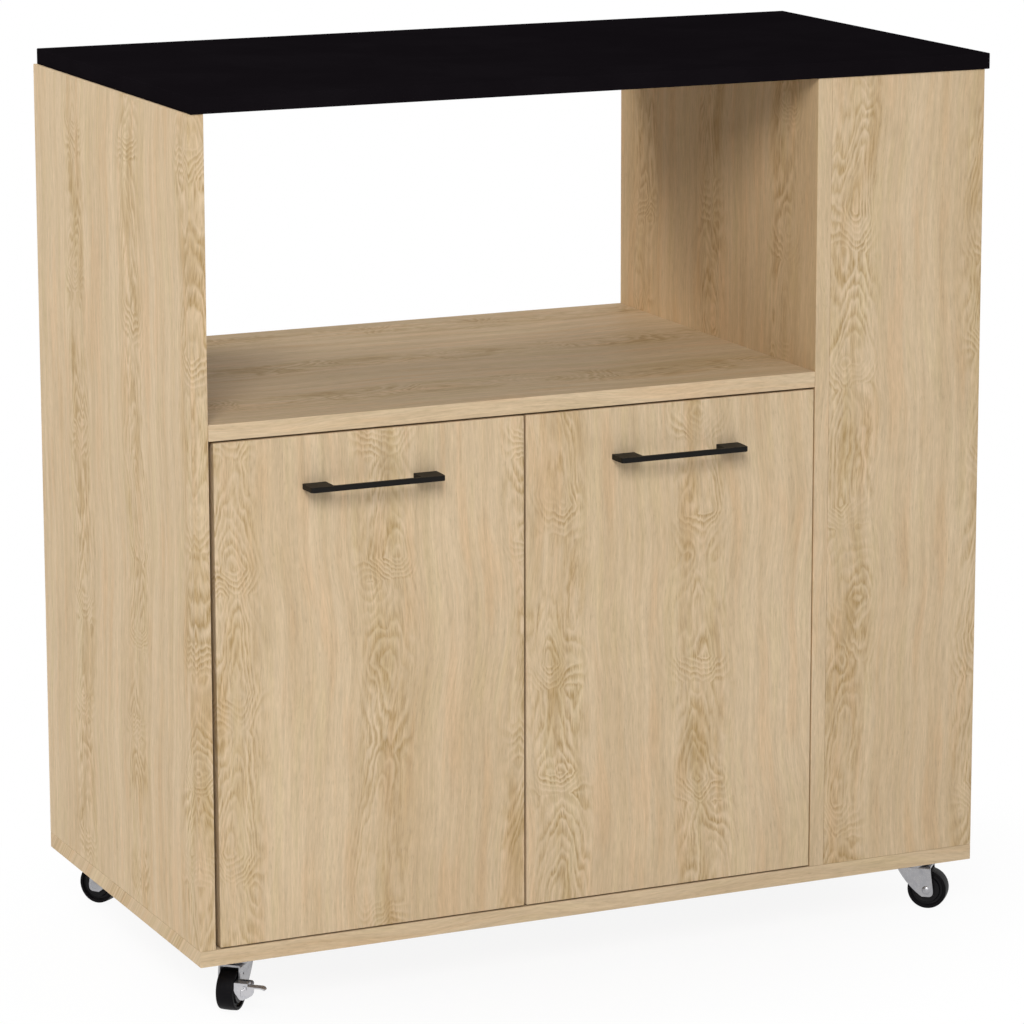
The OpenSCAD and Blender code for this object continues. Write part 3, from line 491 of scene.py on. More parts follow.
def oak_material(name, along, strip_shift, seed, painted_shade_warmth=0.0):
    """Oak laminate whose grain runs along x, y or z. Its warmth is painted shade: it takes from the
    print's blue and green.
    """
    oak = bpy.context.scene.kitchen_cart.oak
    # Painted shade: the warmth takes blue and green from the print's colours
    light, shade, line = (
        (colour[0], colour[1] * (1 - PAINTED_SHADE_GREEN * painted_shade_warmth), colour[2] * (1 - painted_shade_warmth), 1)
        for colour in (oak.light, oak.shade, oak.line))
    material, tree, shader, place = blank_material(name)
    figure = placed(tree, "Oak figure", oak_figure, {
        "Place": place, "Along": along, "Across": Vector((1, 1, 1)) - along,
        "Strip shift": strip_shift, "Seed": seed, "Strip spacing": oak.strip_spacing,
        "Line spacing": oak.line_spacing, "Light": light, "Shade": shade, "Line": line})
    fill(tree, shader, {
        "Base Color": figure["Color"], "Roughness": figure["Roughness"], "Specular IOR Level": 0.03})
    relief(tree, shader, figure["Height"], depth=0.00006)
    return material


def chipboard_material():
    """Bare chipboard: pressed flakes of several browns."""
    if "chipboard_core" in bpy.data.materials:
        return bpy.data.materials["chipboard_core"]
    core = bpy.context.scene.kitchen_cart.oak.core
    pale = (*(1.5 * c for c in core), 1)
    material, tree, shader, place = blank_material("chipboard_core")
    flakes = wire(tree, "ShaderNodeTexVoronoi", {"Vector": place, "Scale": 900.0, "Randomness": 1.0})
    tone = noise(tree, flakes.outputs["Position"], 60.0, 1.0)
    colour = blend_colours(tree, ramp(tree, tone, 0.3, 0.7), (*core, 1), pale)
    fill(tree, shader, {"Base Color": colour, "Roughness": 0.9})
    relief(tree, shader, flakes.outputs["Distance"], depth=0.0002)
    return material


def hardboard_material():
    """The unprinted rear of the thin back panel: brown pressed fibre in soft clumps."""
    dark, pale, clump = (0.20, 0.112, 0.052, 1), (0.33, 0.20, 0.105, 1), (0.24, 0.145, 0.075, 1)
    material, tree, shader, place = blank_material("hardboard_fibre")
    felt = noise(tree, place, 420.0, 4.0, 0.65, 0.8)
    clumps = noise(tree, place, 36.0, 3.0, 0.6)
    colour = blend_colours(tree, ramp(tree, felt, 0.3, 0.7), dark, pale)
    colour = blend_colours(tree, ramp(tree, clumps, 0.4, 0.7, 0.0, 0.4), colour, clump)
    fill(tree, shader, {"Base Color": colour, "Roughness": ramp(tree, felt, 0.3, 0.7, 0.75, 0.95)})
    relief(tree, shader, felt, depth=0.00025)
    return material


def skin_material(name, colour, roughness, grain, depth, smudge, specular):
    """Moulded plastic, powder coat or pressed laminate, a little paler where it is smudged."""
    pale = (*(1.35 * c + 0.001 for c in colour), 1)
    material, tree, shader, place = blank_material(name)
    skin = placed(tree, "Moulded skin", moulded_skin, {
        "Place": place, "Grain size": grain, "Roughness": roughness, "Smudge": smudge})
    tint = blend_colours(tree, times(tree, skin["Mask"], 0.35), (*colour, 1), pale)
    fill(tree, shader, {
        "Base Color": tint, "Roughness": skin["Roughness"], "Specular IOR Level": specular})
    relief(tree, shader, skin["Height"], depth)
    return material


# Plated steels: the setting that has their colour, its factor and their roughness. The brake levers' zinc
# is half as pale again, a painted highlight on their rims.
PLATED = {
    "zinc_plate": ("zinc", 1.0, 0.30), "nickel_plate": ("nickel", 1.0, 0.22),
    "cast_zinc": ("zinc", 0.72, 0.46), "bright_zinc": ("zinc", 1.5, 0.38)}


def steel_material(name):
    """One of the plated steels."""
    if name in bpy.data.materials:
        return bpy.data.materials[name]
    setting, factor, roughness = PLATED[name]
    colour = getattr(bpy.context.scene.kitchen_cart.metal, setting)
    material, tree, shader, place = blank_material(name)
    plate = placed(tree, "Plated steel", plated_steel, {
        "Place": place, "Colour": (*(factor * c for c in colour), 1), "Roughness": roughness})
    fill(tree, shader, {
        "Base Color": plate["Color"], "Roughness": plate["Roughness"], "Metallic": 1.0})
    relief(tree, shader, plate["Height"], depth=0.00002)
    return material


# Pieces

# Distances below which two places are the same, and in a mesh one vertex
TINY, MERGE = 0.00001, 0.000002

# Edges with more than this angle in radians are rounded, on boards and on metal
BOARD_SHARP, METAL_SHARP = 1.0, 0.7

# A screw head's rise and narrowing, step by step, as shares of its height and width
DOME = ((0.35, 1.0), (0.40, 0.88), (0.25, 0.76))

# The cross recess: reach on the head's radius, depth on its height and width of its floor
CROSS_REACH, CROSS_DEPTH, CROSS_FLOOR = 0.52, 0.62, 0.8


def solid_of(node):
    """The node's solid as a clean bmesh, with its flat faces whole."""
    bm = bmesh.new()
    bm.from_mesh(frame["nodes"][node].data)
    bmesh.ops.remove_doubles(bm, verts=bm.verts, dist=MERGE)
    bmesh.ops.dissolve_limit(bm, angle_limit=math.radians(0.6), verts=bm.verts, edges=bm.edges)
    return bm


def round_edges(bm, edges, width):
    """Rounds edges, as wide on each side as the width."""
    if width > 0 and edges:
        bmesh.ops.bevel(
            bm, geom=edges, offset=width, offset_type="OFFSET", affect="EDGES", segments=2,
            profile=0.5, material=-1, clamp_overlap=True)


def weigh_normals(mesh, reach):
    """Weighs each corner's normal by the area of its faces, so that flat faces stay flat beside
    their rounded edges. Faces count whose normals' dot product is over the reach."""
    around = [[] for _ in mesh.vertices]
    faces = [(face.normal.copy(), face.area, tuple(face.vertices)) for face in mesh.polygons]
    for normal, area, verts in faces:
        for vert in verts:
            around[vert].append((normal, normal * area))
    normals = []
    for normal, area, verts in faces:
        for vert in verts:
            total = Vector()
            for other, weighed in around[vert]:
                if other.dot(normal) > reach:
                    total += weighed
            normals.append(total.normalized())
    mesh.normals_split_custom_set(normals)


def settle(name, bm, materials, body, replaced=(), smooth_below=28):
    """Makes the bmesh a piece that rides on a body, smooth below an angle in degrees."""
    mesh = bpy.data.meshes.new(name)
    bm.normal_update()
    bm.to_mesh(mesh)
    bm.free()
    for material in materials:
        mesh.materials.append(material)
    mesh.shade_smooth()
    mesh.set_sharp_from_angle(angle=math.radians(smooth_below))
    weigh_normals(mesh, math.cos(math.radians(smooth_below)))
    piece = bpy.data.objects.new(name, mesh)
    bpy.context.scene.collection.objects.link(piece)
    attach(piece, body)
    if replaced:
        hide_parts(*replaced)


def body_under(node):
    """The body that a node rides on."""
    return frame["nodes"][node]["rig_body"]


def on_hull(point, low, high):
    """How many of the box's planes the point lies on."""
    return sum(min(abs(point[i] - low[i]), abs(point[i] - high[i])) < TINY for i in range(3))


def finished_board(node, materials, width, towards=None):
    """A board with rounded outer edges. Its drilled holes show the second material, and its
    face towards the niche the third, a copy of the print with painted shade."""
    bm = solid_of(node)
    low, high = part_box(node)
    planes = [(i, side[i]) for i in range(3) for side in (low, high)]
    for face in bm.faces:
        outer = any(all(abs(v.co[i] - level) < TINY for v in face.verts) for i, level in planes)
        face.material_index = 0 if outer else 1
        if outer and towards and face.normal.dot(towards) > 0.9:
            face.material_index = 2
    outer_edges = [
        e for e in bm.edges if len(e.link_faces) == 2 and e.calc_face_angle(0) > BOARD_SHARP
        and all(on_hull(v.co, low, high) >= 2 for v in e.verts)]
    round_edges(bm, outer_edges, width)
    settle("finished_" + node, bm, materials, body_under(node), [node])


def finished_metal(node, material, width, skip=None):
    """A metal or plastic piece with its sharp outer edges eased, but for those to skip."""
    bm = solid_of(node)
    edges = [
        e for e in bm.edges if len(e.link_faces) == 2 and e.is_convex
        and e.calc_face_angle(0) > METAL_SHARP and not (skip and skip(e))]
    round_edges(bm, edges, width)
    settle("finished_" + node, bm, [material], body_under(node), [node])


def loop_moved(bm, edges, up, scale=1.0):
    """Extrudes a loop about z, moves it up and scales it, and returns the new loop."""
    made = bmesh.ops.extrude_edge_only(bm, edges=edges)["geom"]
    verts = [g for g in made if isinstance(g, bmesh.types.BMVert)]
    bmesh.ops.translate(bm, verts=verts, vec=Z * up)
    bmesh.ops.scale(bm, verts=verts, vec=(scale, scale, 1))
    return [g for g in made if isinstance(g, bmesh.types.BMEdge)]


def edges_of(verts):
    """The edges that meet at the vertices, each once and in a fixed order."""
    return list(dict.fromkeys(e for v in verts for e in v.link_edges))


def turned_to(place, out):
    """Moves the origin to a place and turns z outwards."""
    return Matrix.Translation(place) @ out.to_track_quat("Z", "Y").to_matrix().to_4x4()


def cross_screw(bm, seat, out, head_d, head_h, shank_d, shank_l):
    """Adds a screw with a domed head and a cross recess. Its head stands on the seat."""
    earlier = set(bm.verts)
    r, shank = head_d / 2, shank_d / 2
    rim_edges = edges_of(bmesh.ops.create_circle(bm, radius=r, segments=24)["verts"])
    neck = loop_moved(bm, rim_edges, 0, shank / r)
    tip = loop_moved(bm, neck, -shank_l)
    bmesh.ops.contextual_create(bm, geom=tip)
    top = rim_edges
    for rise, narrowing in DOME:
        top = loop_moved(bm, top, head_h * rise, narrowing)

    # The recess: a cross of two slots, narrower at its floor
    reach = r * CROSS_REACH
    slot = min(bpy.context.scene.kitchen_cart.fitting.recess / 2, reach * 0.4)
    cross = bmesh.ops.create_circle(bm, radius=r, segments=12)["verts"]
    ordered = sorted(cross, key=lambda v: math.atan2(v.co.y, v.co.x) % (2 * math.pi))
    outline = []
    for c, s in ((1, 0), (0, 1), (-1, 0), (0, -1)):
        for x, y in ((reach, -slot), (reach, slot), (slot, slot)):
            outline.append(Vector((x * c - y * s, x * s + y * c, head_h)))
    for vert, place in zip(ordered, outline):
        vert.co = place
    cross_edges = edges_of(cross)
    bmesh.ops.bridge_loops(bm, edges=top + cross_edges)
    floor = loop_moved(bm, cross_edges, -head_h * CROSS_DEPTH, CROSS_FLOOR)
    bmesh.ops.contextual_create(bm, geom=floor)

    fresh = [v for v in bm.verts if v not in earlier]
    bmesh.ops.transform(bm, matrix=turned_to(seat, out), verts=fresh)
    faces = list(dict.fromkeys(f for v in fresh for f in v.link_faces))
    bmesh.ops.recalc_face_normals(bm, faces=faces)


def bevelled_plate(bm, low, high, width):
    """Adds a small plate with eased edges between two corners."""
    place = Matrix.Translation((low + high) / 2) @ Matrix.Diagonal((*(high - low), 1))
    round_edges(bm, edges_of(bmesh.ops.create_cube(bm, size=1, matrix=place)["verts"]), width)


def wheel_sizes(node, middle, axle):
    """Bore radius, half hub width, radius and half tread width of a wheel."""
    spots = []
    for vert in frame["nodes"][node].data.vertices:
        arm = vert.co - middle
        along = arm.dot(axle)
        spots.append(((arm - axle * along).length, abs(along)))
    radius = max(r for r, _ in spots)
    half = max(h for r, h in spots if r > radius * 0.85)
    return min(r for r, _ in spots), max(h for _, h in spots), radius, half


# The wheels: wall of the hub, tread outside the groove, and the groove's inner edge and depth
HUB_WALL, TREAD, GROOVE_IN, GROOVE_DEEP = 0.0026, 0.0036, 0.0069, 0.0025

# Radius of the tread's corners, and how many steps they are turned in
TREAD_CORNER, CORNER_STEPS, WHEEL_STEPS = 0.0012, 5, 96


def turned_wheel(bm, bore, hub_half, radius, half, crown, dish):
    """Spins the wheel's profile about z. Distances run out from the bore to the tread."""
    hub = bore + HUB_WALL
    groove_out, groove_in, deep = radius - TREAD, radius - GROOVE_IN, half - GROOVE_DEEP
    side = [
        (bore + 0.0002, hub_half), (hub - 0.0004, hub_half), (hub, hub_half - 0.0004),
        (hub + 0.0002, half - dish), (hub + 0.0012, half - dish), (groove_in - 0.0016, half - dish * 0.6),
        (groove_in - 0.0006, half), (groove_in - 0.0002, half - 0.0003),
        (groove_in + 0.0002, deep + 0.0004), (groove_in + 0.0006, deep),
        (groove_out - 0.0006, deep), (groove_out - 0.0001, deep + 0.0005),
        (groove_out + 0.0001, half - 0.0004), (groove_out + 0.0004, half - 0.0001),
        (radius - 0.0018, half)]
    for step in range(1, CORNER_STEPS + 1):
        turn = math.radians(90 - 90 / CORNER_STEPS * step)
        r = radius - crown + TREAD_CORNER * (math.cos(turn) - 1)
        side.append((r, half + TREAD_CORNER * (math.sin(turn) - 1)))
    side.append((radius - crown * 0.25, half * 0.45))
    profile = [(bore, hub_half - 0.0002), *side, (radius, 0)]
    profile += [(r, -h) for r, h in reversed(profile[:-1])]
    verts = [bm.verts.new((r, 0, h)) for r, h in profile]
    edges = [bm.edges.new(pair) for pair in zip(verts, verts[1:] + verts[:1])]
    bmesh.ops.spin(
        bm, geom=verts + edges, cent=(0, 0, 0), axis=Z, angle=2 * math.pi, steps=WHEEL_STEPS,
        use_merge=True)
    bmesh.ops.remove_doubles(bm, verts=bm.verts, dist=MERGE)
    bmesh.ops.recalc_face_normals(bm, faces=bm.faces)


# Boards: node, direction of the grain, place of a figured strip across the grain, seed
BOARDS = [
    ("left_side_panel", Z, -0.295, 1.0),
    ("partition_panel", Z, 0.085, 11.0),
    ("bottom_board", X, -0.065, 21.0),
    ("niche_shelf", X, 0.428, 31.0),
    ("cabinet_shelf", X, 0.190, 41.0),
    ("front_panel", Z, 0.0585, 51.0),
    ("rear_panel", Z, 0.45, 61.0),
    ("lower_bay_shelf", Y, 0.56, 71.0),
    ("middle_bay_shelf", Y, 0.60, 81.0),
    ("upper_bay_shelf", Y, 0.83, 91.0),
]

# Doors and back panel: place of a figured strip across the grain, seed
DOORS = {"left_door": (-0.418, 111.0), "right_door": (-0.244, 121.0)}
BACK_PANEL = (0.31, 101.0)

# The faces that look into the niche, and how strongly painted shade warms and darkens their print
NICHE_PAINTED_SHADE = {"partition_panel": (-X, 1.0), "niche_shelf": (Z, 0.4)}

# Hinges: distance from the door's end
HINGE_END = 0.075

# Hinge plates: thickness of a wing, its screws behind the door's front and half their pitch
WING_THICK, WING_BACK, WING_PITCH = 0.0015, 0.0524, 0.016

# Hinge arms: their face from the door's edge, and their screws behind the door's front
ARM_FACE, ARM_SCREWS = 0.0045, (0.0384, 0.0664)

# Hinge cups: their middle from the door's edge, and half the pitch of their screws
CUP_MIDDLE, CUP_PITCH = 0.031, 0.024

# Magnetic catch: from its middle to a magnet and to a screw, and that screw behind its front
# and under its top
MAGNET, CATCH_SCREW, CATCH_SEAT_Y, CATCH_SEAT_Z = 0.01405, 0.02605, 0.011, 0.002

# Pole plates: half width, thickness, how far they are proud and heights under the catch's top
POLE_HALF, POLE_THICK, POLE_PROUD, POLE_LEVELS = 0.0055, 0.0012, 0.00012, (-0.0114, -0.0058)

# Strike plates: how deep their screw's head is sunk
STRIKE_SINK = 0.0004

# Casters: their places, half the pitch of their screws and the plate's thickness
CORNERS = ("front_left", "front_right", "rear_left", "rear_right")
CASTER_PITCH, CASTER_PLATE = 0.016, 0.002

# Screw heads: diameter and height
CATCH_HEAD = 0.0060
STRIKE_HEAD, CASTER_HEAD = (0.0033, 0.0003), (0.0070, 0.0020)

# Screw shanks: diameter and length under the head
WING_SHANK, ARM_SHANK, CUP_SHANK = (0.0052, 0.0014), (0.0046, 0.0019), (0.0042, 0.0010)
CATCH_SHANK, STRIKE_SHANK, CASTER_SHANK = (0.0032, 0.0018), (0.0026, 0.0006), (0.0036, 0.0138)


class CART_OT_boards(Operator):
    """Finish the oak boards of the body"""

    bl_idname = "kitchen_cart.boards"
    bl_label = "Body Boards"

    def execute(self, context):
        oak = context.scene.kitchen_cart.oak
        for node, along, shift, seed in BOARDS:
            materials = [oak_material("oak_" + node, along, shift, seed), chipboard_material()]
            towards, share = NICHE_PAINTED_SHADE.get(node, (None, 0.0))
            if towards:
                # The faces inside the niche get a copy of the print with painted shade
                materials.append(oak_material("warm_oak_" + node, along, shift, seed, share * oak.painted_shade_warmth))
            finished_board(node, materials, oak.edge, towards)
        return {"FINISHED"}


class CART_OT_back_panel(Operator):
    """Finish the cabinet's thin back panel, printed inside and bare outside"""

    bl_idname = "kitchen_cart.back_panel"
    bl_label = "Back Panel"

    def execute(self, context):
        bm = solid_of("cabinet_back_panel")
        for face in bm.faces:
            face.material_index = 0 if face.normal.y < -0.5 else 1
        materials = [oak_material("oak_back_panel", Z, *BACK_PANEL), hardboard_material()]
        settle("printed_back_panel", bm, materials, "body", ["cabinet_back_panel"])
        return {"FINISHED"}


class CART_OT_worktop(Operator):
    """Finish the black worktop"""

    bl_idname = "kitchen_cart.worktop"
    bl_label = "Worktop"

    def execute(self, context):
        top = context.scene.kitchen_cart.worktop
        black = skin_material(
            "black_laminate_skin", top.colour, top.roughness, grain=0.0011, depth=0.00004,
            smudge=0.10, specular=0.0)
        finished_board("worktop", [black, chipboard_material()], top.edge)
        return {"FINISHED"}


class CART_OT_doors(Operator):
    """Finish the two doors"""

    bl_idname = "kitchen_cart.doors"
    bl_label = "Doors"

    def execute(self, context):
        edge = context.scene.kitchen_cart.oak.edge
        for node, (shift, seed) in DOORS.items():
            material = oak_material("oak_" + node, Z, shift, seed)
            finished_board(node, [material, chipboard_material()], edge)
        return {"FINISHED"}


class CART_OT_handles(Operator):
    """Finish the two bar handles"""

    bl_idname = "kitchen_cart.handles"
    bl_label = "Handles"

    def execute(self, context):
        colour = context.scene.kitchen_cart.metal.handle
        coat = skin_material(
            "handle_coat", colour, 0.5, grain=0.0005, depth=0.00004, smudge=0.12, specular=0.12)
        for side in ("left", "right"):
            node = side + "_handle"
            # The feet's edges on the door stay sharp
            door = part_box(node)[1].y - 0.0001
            finished_metal(
                node, coat, 0.0006, skip=lambda e: max(v.co.y for v in e.verts) > door)
        return {"FINISHED"}


class CART_OT_hinges(Operator):
    """Finish the concealed hinges and add their screws"""

    bl_idname = "kitchen_cart.hinges"
    bl_label = "Hinges"

    def execute(self, context):
        cart = context.scene.kitchen_cart
        head = (cart.fitting.head, cart.fitting.height)
        nickel, zinc = steel_material("nickel_plate"), steel_material("zinc_plate")
        for side, way in (("left", 1), ("right", -1)):
            for part in ("cups", "arms", "plates"):
                finished_metal(f"{side}_hinge_{part}", nickel, cart.metal.edge * 0.7)
            finished_metal(f"{side}_hinge_pins", zinc, 0.0)

            # The screws sit in the hinges' own holes, measured from the door's edge and front
            low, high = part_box(side + "_door")
            plates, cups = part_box(side + "_hinge_plates"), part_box(side + "_hinge_cups")
            edge = low.x if way > 0 else high.x
            wing = (plates[0].x if way > 0 else plates[1].x) + way * WING_THICK
            on_body, on_door = bmesh.new(), bmesh.new()
            for level in (low.z + HINGE_END, high.z - HINGE_END):
                for z in (level - WING_PITCH, level + WING_PITCH):
                    seat = Vector((wing, low.y + WING_BACK, z))
                    cross_screw(on_body, seat, X * way, *head, *WING_SHANK)
                for back in ARM_SCREWS:
                    seat = Vector((edge + way * ARM_FACE, low.y + back, level))
                    cross_screw(on_body, seat, X * way, *head, *ARM_SHANK)
                for z in (level - CUP_PITCH, level + CUP_PITCH):
                    seat = Vector((edge + way * CUP_MIDDLE, cups[1].y, z))
                    cross_screw(on_door, seat, Y, *head, *CUP_SHANK)
            settle(side + "_hinge_plate_screws", on_body, [zinc], "body")
            settle(side + "_hinge_cup_screws", on_door, [zinc], side + "_door_set")
        return {"FINISHED"}


class CART_OT_catch(Operator):
    """Finish the magnetic catch and its strike plates, with pole plates and screws"""

    bl_idname = "kitchen_cart.catch"
    bl_label = "Magnetic Catch"

    def execute(self, context):
        fitting = context.scene.kitchen_cart.fitting
        zinc = steel_material("zinc_plate")
        plastic = skin_material(
            "catch_plastic_skin", fitting.plastic, 0.45, grain=0.0006, depth=0.00003,
            smudge=0.1, specular=0.35)
        finished_metal("magnetic_catch", plastic, 0.0004)

        # Each magnet lies between two steel pole plates, a little proud of the block's front
        low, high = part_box("magnetic_catch")
        middle = (low.x + high.x) / 2
        bm = bmesh.new()
        for side in (-1, 1):
            magnet = middle + side * MAGNET
            for level in POLE_LEVELS:
                near = Vector((magnet - POLE_HALF, low.y - POLE_PROUD, high.z + level))
                far = Vector((magnet + POLE_HALF, low.y + POLE_THICK, high.z + level + POLE_THICK))
                bevelled_plate(bm, near, far, 0.0002)
            seat = Vector((middle + side * CATCH_SCREW, low.y + CATCH_SEAT_Y, high.z - CATCH_SEAT_Z))
            cross_screw(bm, seat, -Z, CATCH_HEAD, fitting.height, *CATCH_SHANK)
        settle("catch_poles_and_screws", bm, [zinc], "body")

        for side in ("left", "right"):
            node = side + "_strike_plate"
            finished_metal(node, zinc, 0.0003)
            low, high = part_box(node)
            seat = Vector(((low.x + high.x) / 2, high.y - STRIKE_SINK, (low.z + high.z) / 2))
            bm = bmesh.new()
            cross_screw(bm, seat, Y, *STRIKE_HEAD, *STRIKE_SHANK)
            settle(side + "_strike_screw", bm, [zinc], side + "_door_set")
        return {"FINISHED"}


class CART_OT_fittings(Operator):
    """Finish the shelf pins, cam fittings and handle screws"""

    bl_idname = "kitchen_cart.fittings"
    bl_label = "Board Fittings"

    def execute(self, context):
        zinc = steel_material("zinc_plate")
        finished_metal("shelf_pins", steel_material("nickel_plate"), 0.0005)
        finished_metal("cam_locks", steel_material("cast_zinc"), 0.0003)
        finished_metal("cam_bolts", zinc, 0.0)
        for side in ("left", "right"):
            finished_metal(side + "_handle_screws", zinc, 0.0004)
        return {"FINISHED"}


class CART_OT_casters(Operator):
    """Finish the casters' mounting plates, rivets, forks and axles, and drive in their screws"""

    bl_idname = "kitchen_cart.casters"
    bl_label = "Casters"

    def execute(self, context):
        edge = context.scene.kitchen_cart.metal.edge
        zinc = steel_material("zinc_plate")
        bm = bmesh.new()
        for corner in CORNERS:
            for part, width in (("plate", edge), ("kingpin", edge), ("fork", edge), ("axle", 0.0)):
                finished_metal(f"{corner}_caster_{part}", zinc, width)
            low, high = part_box(corner + "_caster_plate")
            middle = (low + high) / 2
            for x in (-CASTER_PITCH, CASTER_PITCH):
                for y in (-CASTER_PITCH, CASTER_PITCH):
                    seat = Vector((middle.x + x, middle.y + y, high.z - CASTER_PLATE))
                    cross_screw(bm, seat, -Z, *CASTER_HEAD, *CASTER_SHANK)
        settle("driven_caster_screws", bm, [zinc], "body", ["caster_screws"])
        return {"FINISHED"}


class CART_OT_wheels(Operator):
    """Turn the casters' wheels: a crowned tread, a groove on each side and a dished centre"""

    bl_idname = "kitchen_cart.wheels"
    bl_label = "Wheels"

    def execute(self, context):
        caster = context.scene.kitchen_cart.caster
        tread = skin_material(
            "wheel_tread", caster.rubber, 0.48, grain=0.0005, depth=0.00003, smudge=0.25, specular=0.07)
        centre = skin_material(
            "wheel_centre", caster.plastic, 0.36, grain=0.0009, depth=0.00002, smudge=0.15, specular=0.12)
        for corner in CORNERS:
            node = corner + "_caster_wheel"
            joint = next(j for j in frame["joints"] if j["child"] == corner + "_wheel_set")
            middle, axle = Vector(joint["pos_m"]), Vector(joint["axis"])
            bore, hub_half, radius, half = wheel_sizes(node, middle, axle)
            bm = bmesh.new()
            turned_wheel(bm, bore, hub_half, radius, half, caster.crown, caster.dish)
            for face in bm.faces:
                at = face.calc_center_median()
                face.material_index = 0 if math.hypot(at.x, at.y) > radius - TREAD else 1
            bm.transform(turned_to(middle, axle))
            settle(
                "turned_" + node, bm, [tread, centre], body_under(node), [node],
                smooth_below=34)
        return {"FINISHED"}


class CART_OT_brakes(Operator):
    """Finish the brake levers and their pins"""

    bl_idname = "kitchen_cart.brakes"
    bl_label = "Brakes"

    def execute(self, context):
        edge = context.scene.kitchen_cart.metal.edge
        # The levers' paler zinc carries a painted highlight
        highlit_steel = steel_material("bright_zinc")
        for corner in CORNERS:
            if corner + "_brake_lever" in frame["nodes"]:
                finished_metal(corner + "_brake_lever", highlit_steel, edge * 0.6)
                finished_metal(corner + "_brake_pin", highlit_steel, 0.0002)
        return {"FINISHED"}


# Stage

# Camera: place, degrees down and to the right, and shift of the picture
CAMERA_PLACE, CAMERA_DOWN, CAMERA_RIGHT = (-1.735, -3.806, 1.322), 11.15, 25.01
CAMERA_SHIFT = (-0.0398, -0.10)

# Lamps: name, size and place, all turned to one spot
LAMPS = [
    ("key", 2.0, Vector((-1.9, -3.7, 3.2))),
    ("side", 1.3, Vector((-2.6, 1.5, 3.3))),
    ("fill", 1.6, Vector((3.0, 2.8, 2.4))),
]
LAMP_SPOT = Vector((0, 0, 0.4))

# Floor: radius, and the distances between which it turns white, drawn in along y
FLOOR_RADIUS, FLOOR_FADE, FLOOR_SHAPE = 30.0, (0.25, 0.70), (1, 1.4, 1)

# Where the even light is strongest: the front left, and above
SKY_SIDE = (-0.60, -0.66, 0.45)


def floor_material(colour):
    """Plain paint that takes the cart's shadow and turns white further out."""
    material, tree, shader, place = blank_material("studio_floor_paint")
    speck = times(tree, noise(tree, place, 60.0, 3.0, 0.6), 0.04)
    tint = blend_colours(tree, speck, (*colour, 1), (0.7, 0.7, 0.7, 1))
    fill(tree, shader, {"Base Color": tint, "Roughness": 0.9, "Specular IOR Level": 0.1})
    glow = wire(tree, "ShaderNodeEmission", {"Color": WHITE, "Strength": 1.0})
    far = scaled(tree, place, FLOOR_SHAPE)
    far = wire(tree, "ShaderNodeVectorMath", {0: far}, operation="LENGTH").outputs[1]
    fade = times(tree, ramp(tree, far, *FLOOR_FADE, 0.90, 1.0), looked_at(tree))
    mixed = wire(tree, "ShaderNodeMixShader", {0: fade, 1: shader.outputs[0], 2: glow.outputs[0]})

    # From below the floor is clear, so that the cart's underside can be seen
    clear = tree.nodes.new("ShaderNodeBsdfTransparent")
    below = tree.nodes.new("ShaderNodeNewGeometry").outputs["Backfacing"]
    shown = wire(tree, "ShaderNodeMixShader", {0: below, 1: mixed.outputs[0], 2: clear.outputs[0]})
    output = next(n for n in tree.nodes if n.type == "OUTPUT_MATERIAL")
    fill(tree, output, {"Surface": shown.outputs[0]})
    return material


def even_light(world, ambient, behind):
    """Lights the cart from all round, and looks plain white itself."""
    world.use_nodes = True
    tree = world.node_tree
    tree.nodes.clear()
    looked = looked_at(tree)
    towards = dot(tree, tree.nodes.new("ShaderNodeTexCoord").outputs["Generated"], SKY_SIDE)
    even = times(tree, ramp(tree, towards, -0.7, 0.7, behind, 1.0), ambient)
    strength = plus(tree, times(tree, even, minus(tree, 1.0, looked)), looked)
    sky = wire(tree, "ShaderNodeBackground", {"Color": WHITE, "Strength": strength})
    wire(tree, "ShaderNodeOutputWorld", {"Surface": sky.outputs[0]})


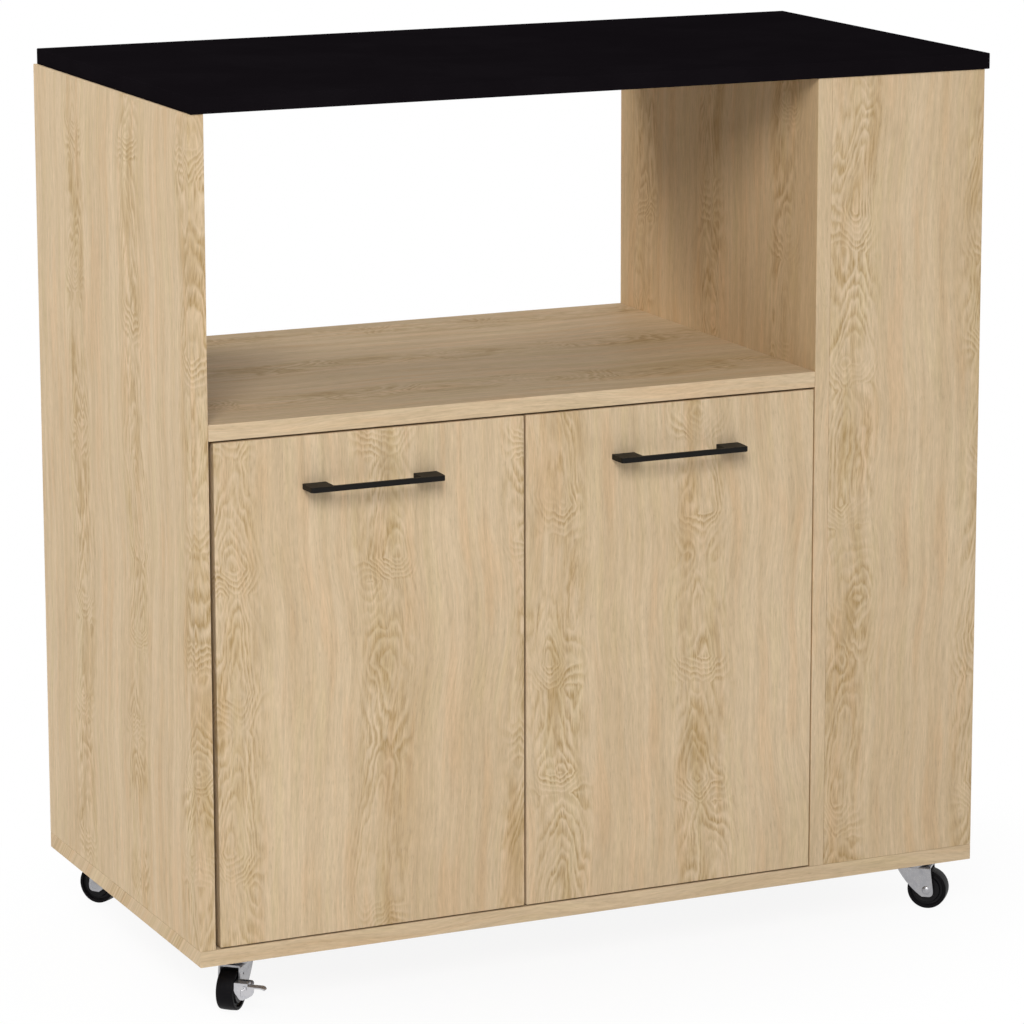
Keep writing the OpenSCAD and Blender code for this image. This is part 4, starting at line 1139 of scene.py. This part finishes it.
class CART_OT_stage(Operator):
    """Set the floor, the light and the camera"""

    bl_idname = "kitchen_cart.stage"
    bl_label = "Stage"

    def execute(self, context):
        scene = context.scene
        stage = scene.kitchen_cart.stage

        bm = bmesh.new()
        bmesh.ops.create_circle(bm, cap_ends=True, radius=FLOOR_RADIUS, segments=64)
        mesh = bpy.data.meshes.new("studio_floor")
        bm.to_mesh(mesh)
        bm.free()
        mesh.materials.append(floor_material(stage.floor))
        floor = bpy.data.objects.new("studio_floor", mesh)
        scene.collection.objects.link(floor)

        scene.world = bpy.data.worlds.new("studio")
        even_light(scene.world, stage.ambient, stage.behind)
        for name, size, place in LAMPS:
            lamp = bpy.data.lights.new(name, "AREA")
            lamp.energy = getattr(stage, name)
            lamp.size = size
            holder = bpy.data.objects.new(name, lamp)
            holder.location = place
            holder.rotation_euler = (LAMP_SPOT - place).to_track_quat("-Z", "Y").to_euler()
            scene.collection.objects.link(holder)

        lens = bpy.data.cameras.new("camera")
        lens.lens = stage.lens
        lens.shift_x, lens.shift_y = CAMERA_SHIFT
        lens.clip_start, lens.clip_end = 0.1, 100.0
        camera = bpy.data.objects.new("camera", lens)
        camera.location = CAMERA_PLACE
        camera.rotation_euler = (math.radians(90 - CAMERA_DOWN), 0, math.radians(-CAMERA_RIGHT))
        scene.collection.objects.link(camera)
        scene.camera = camera
        scene.view_settings.view_transform = "Standard"
        return {"FINISHED"}


class CART_PT_panel(Panel):
    """Kitchen cart tools"""

    bl_idname = "CART_PT_panel"
    bl_label = "Kitchen Cart"
    bl_space_type = "VIEW_3D"
    bl_region_type = "UI"
    bl_category = "Kitchen Cart"

    def draw(self, context):
        layout = self.layout
        cart = context.scene.kitchen_cart
        for group in (cart.oak, cart.worktop, cart.metal, cart.caster, cart.fitting, cart.stage):
            box = layout.box()
            for name in group.__annotations__:
                box.prop(group, name)
        for operator in OPERATORS:
            layout.operator(operator.bl_idname)


OPERATORS = (
    CART_OT_stage, CART_OT_boards, CART_OT_back_panel, CART_OT_worktop, CART_OT_doors,
    CART_OT_handles, CART_OT_hinges, CART_OT_catch, CART_OT_fittings, CART_OT_casters,
    CART_OT_wheels, CART_OT_brakes)
CLASSES = (
    OakSettings, WorktopSettings, MetalSettings, CasterSettings, FittingSettings, StageSettings,
    CartSettings, *OPERATORS, CART_PT_panel)


def register():
    for cls in CLASSES:
        bpy.utils.register_class(cls)
    bpy.types.Scene.kitchen_cart = PointerProperty(type=CartSettings)


def unregister():
    del bpy.types.Scene.kitchen_cart
    for cls in reversed(CLASSES):
        bpy.utils.unregister_class(cls)


def main():
    register()
    for operator in OPERATORS:
        area, name = operator.bl_idname.split(".")
        getattr(getattr(bpy.ops, area), name)()


if __name__ == "__main__":
    main()
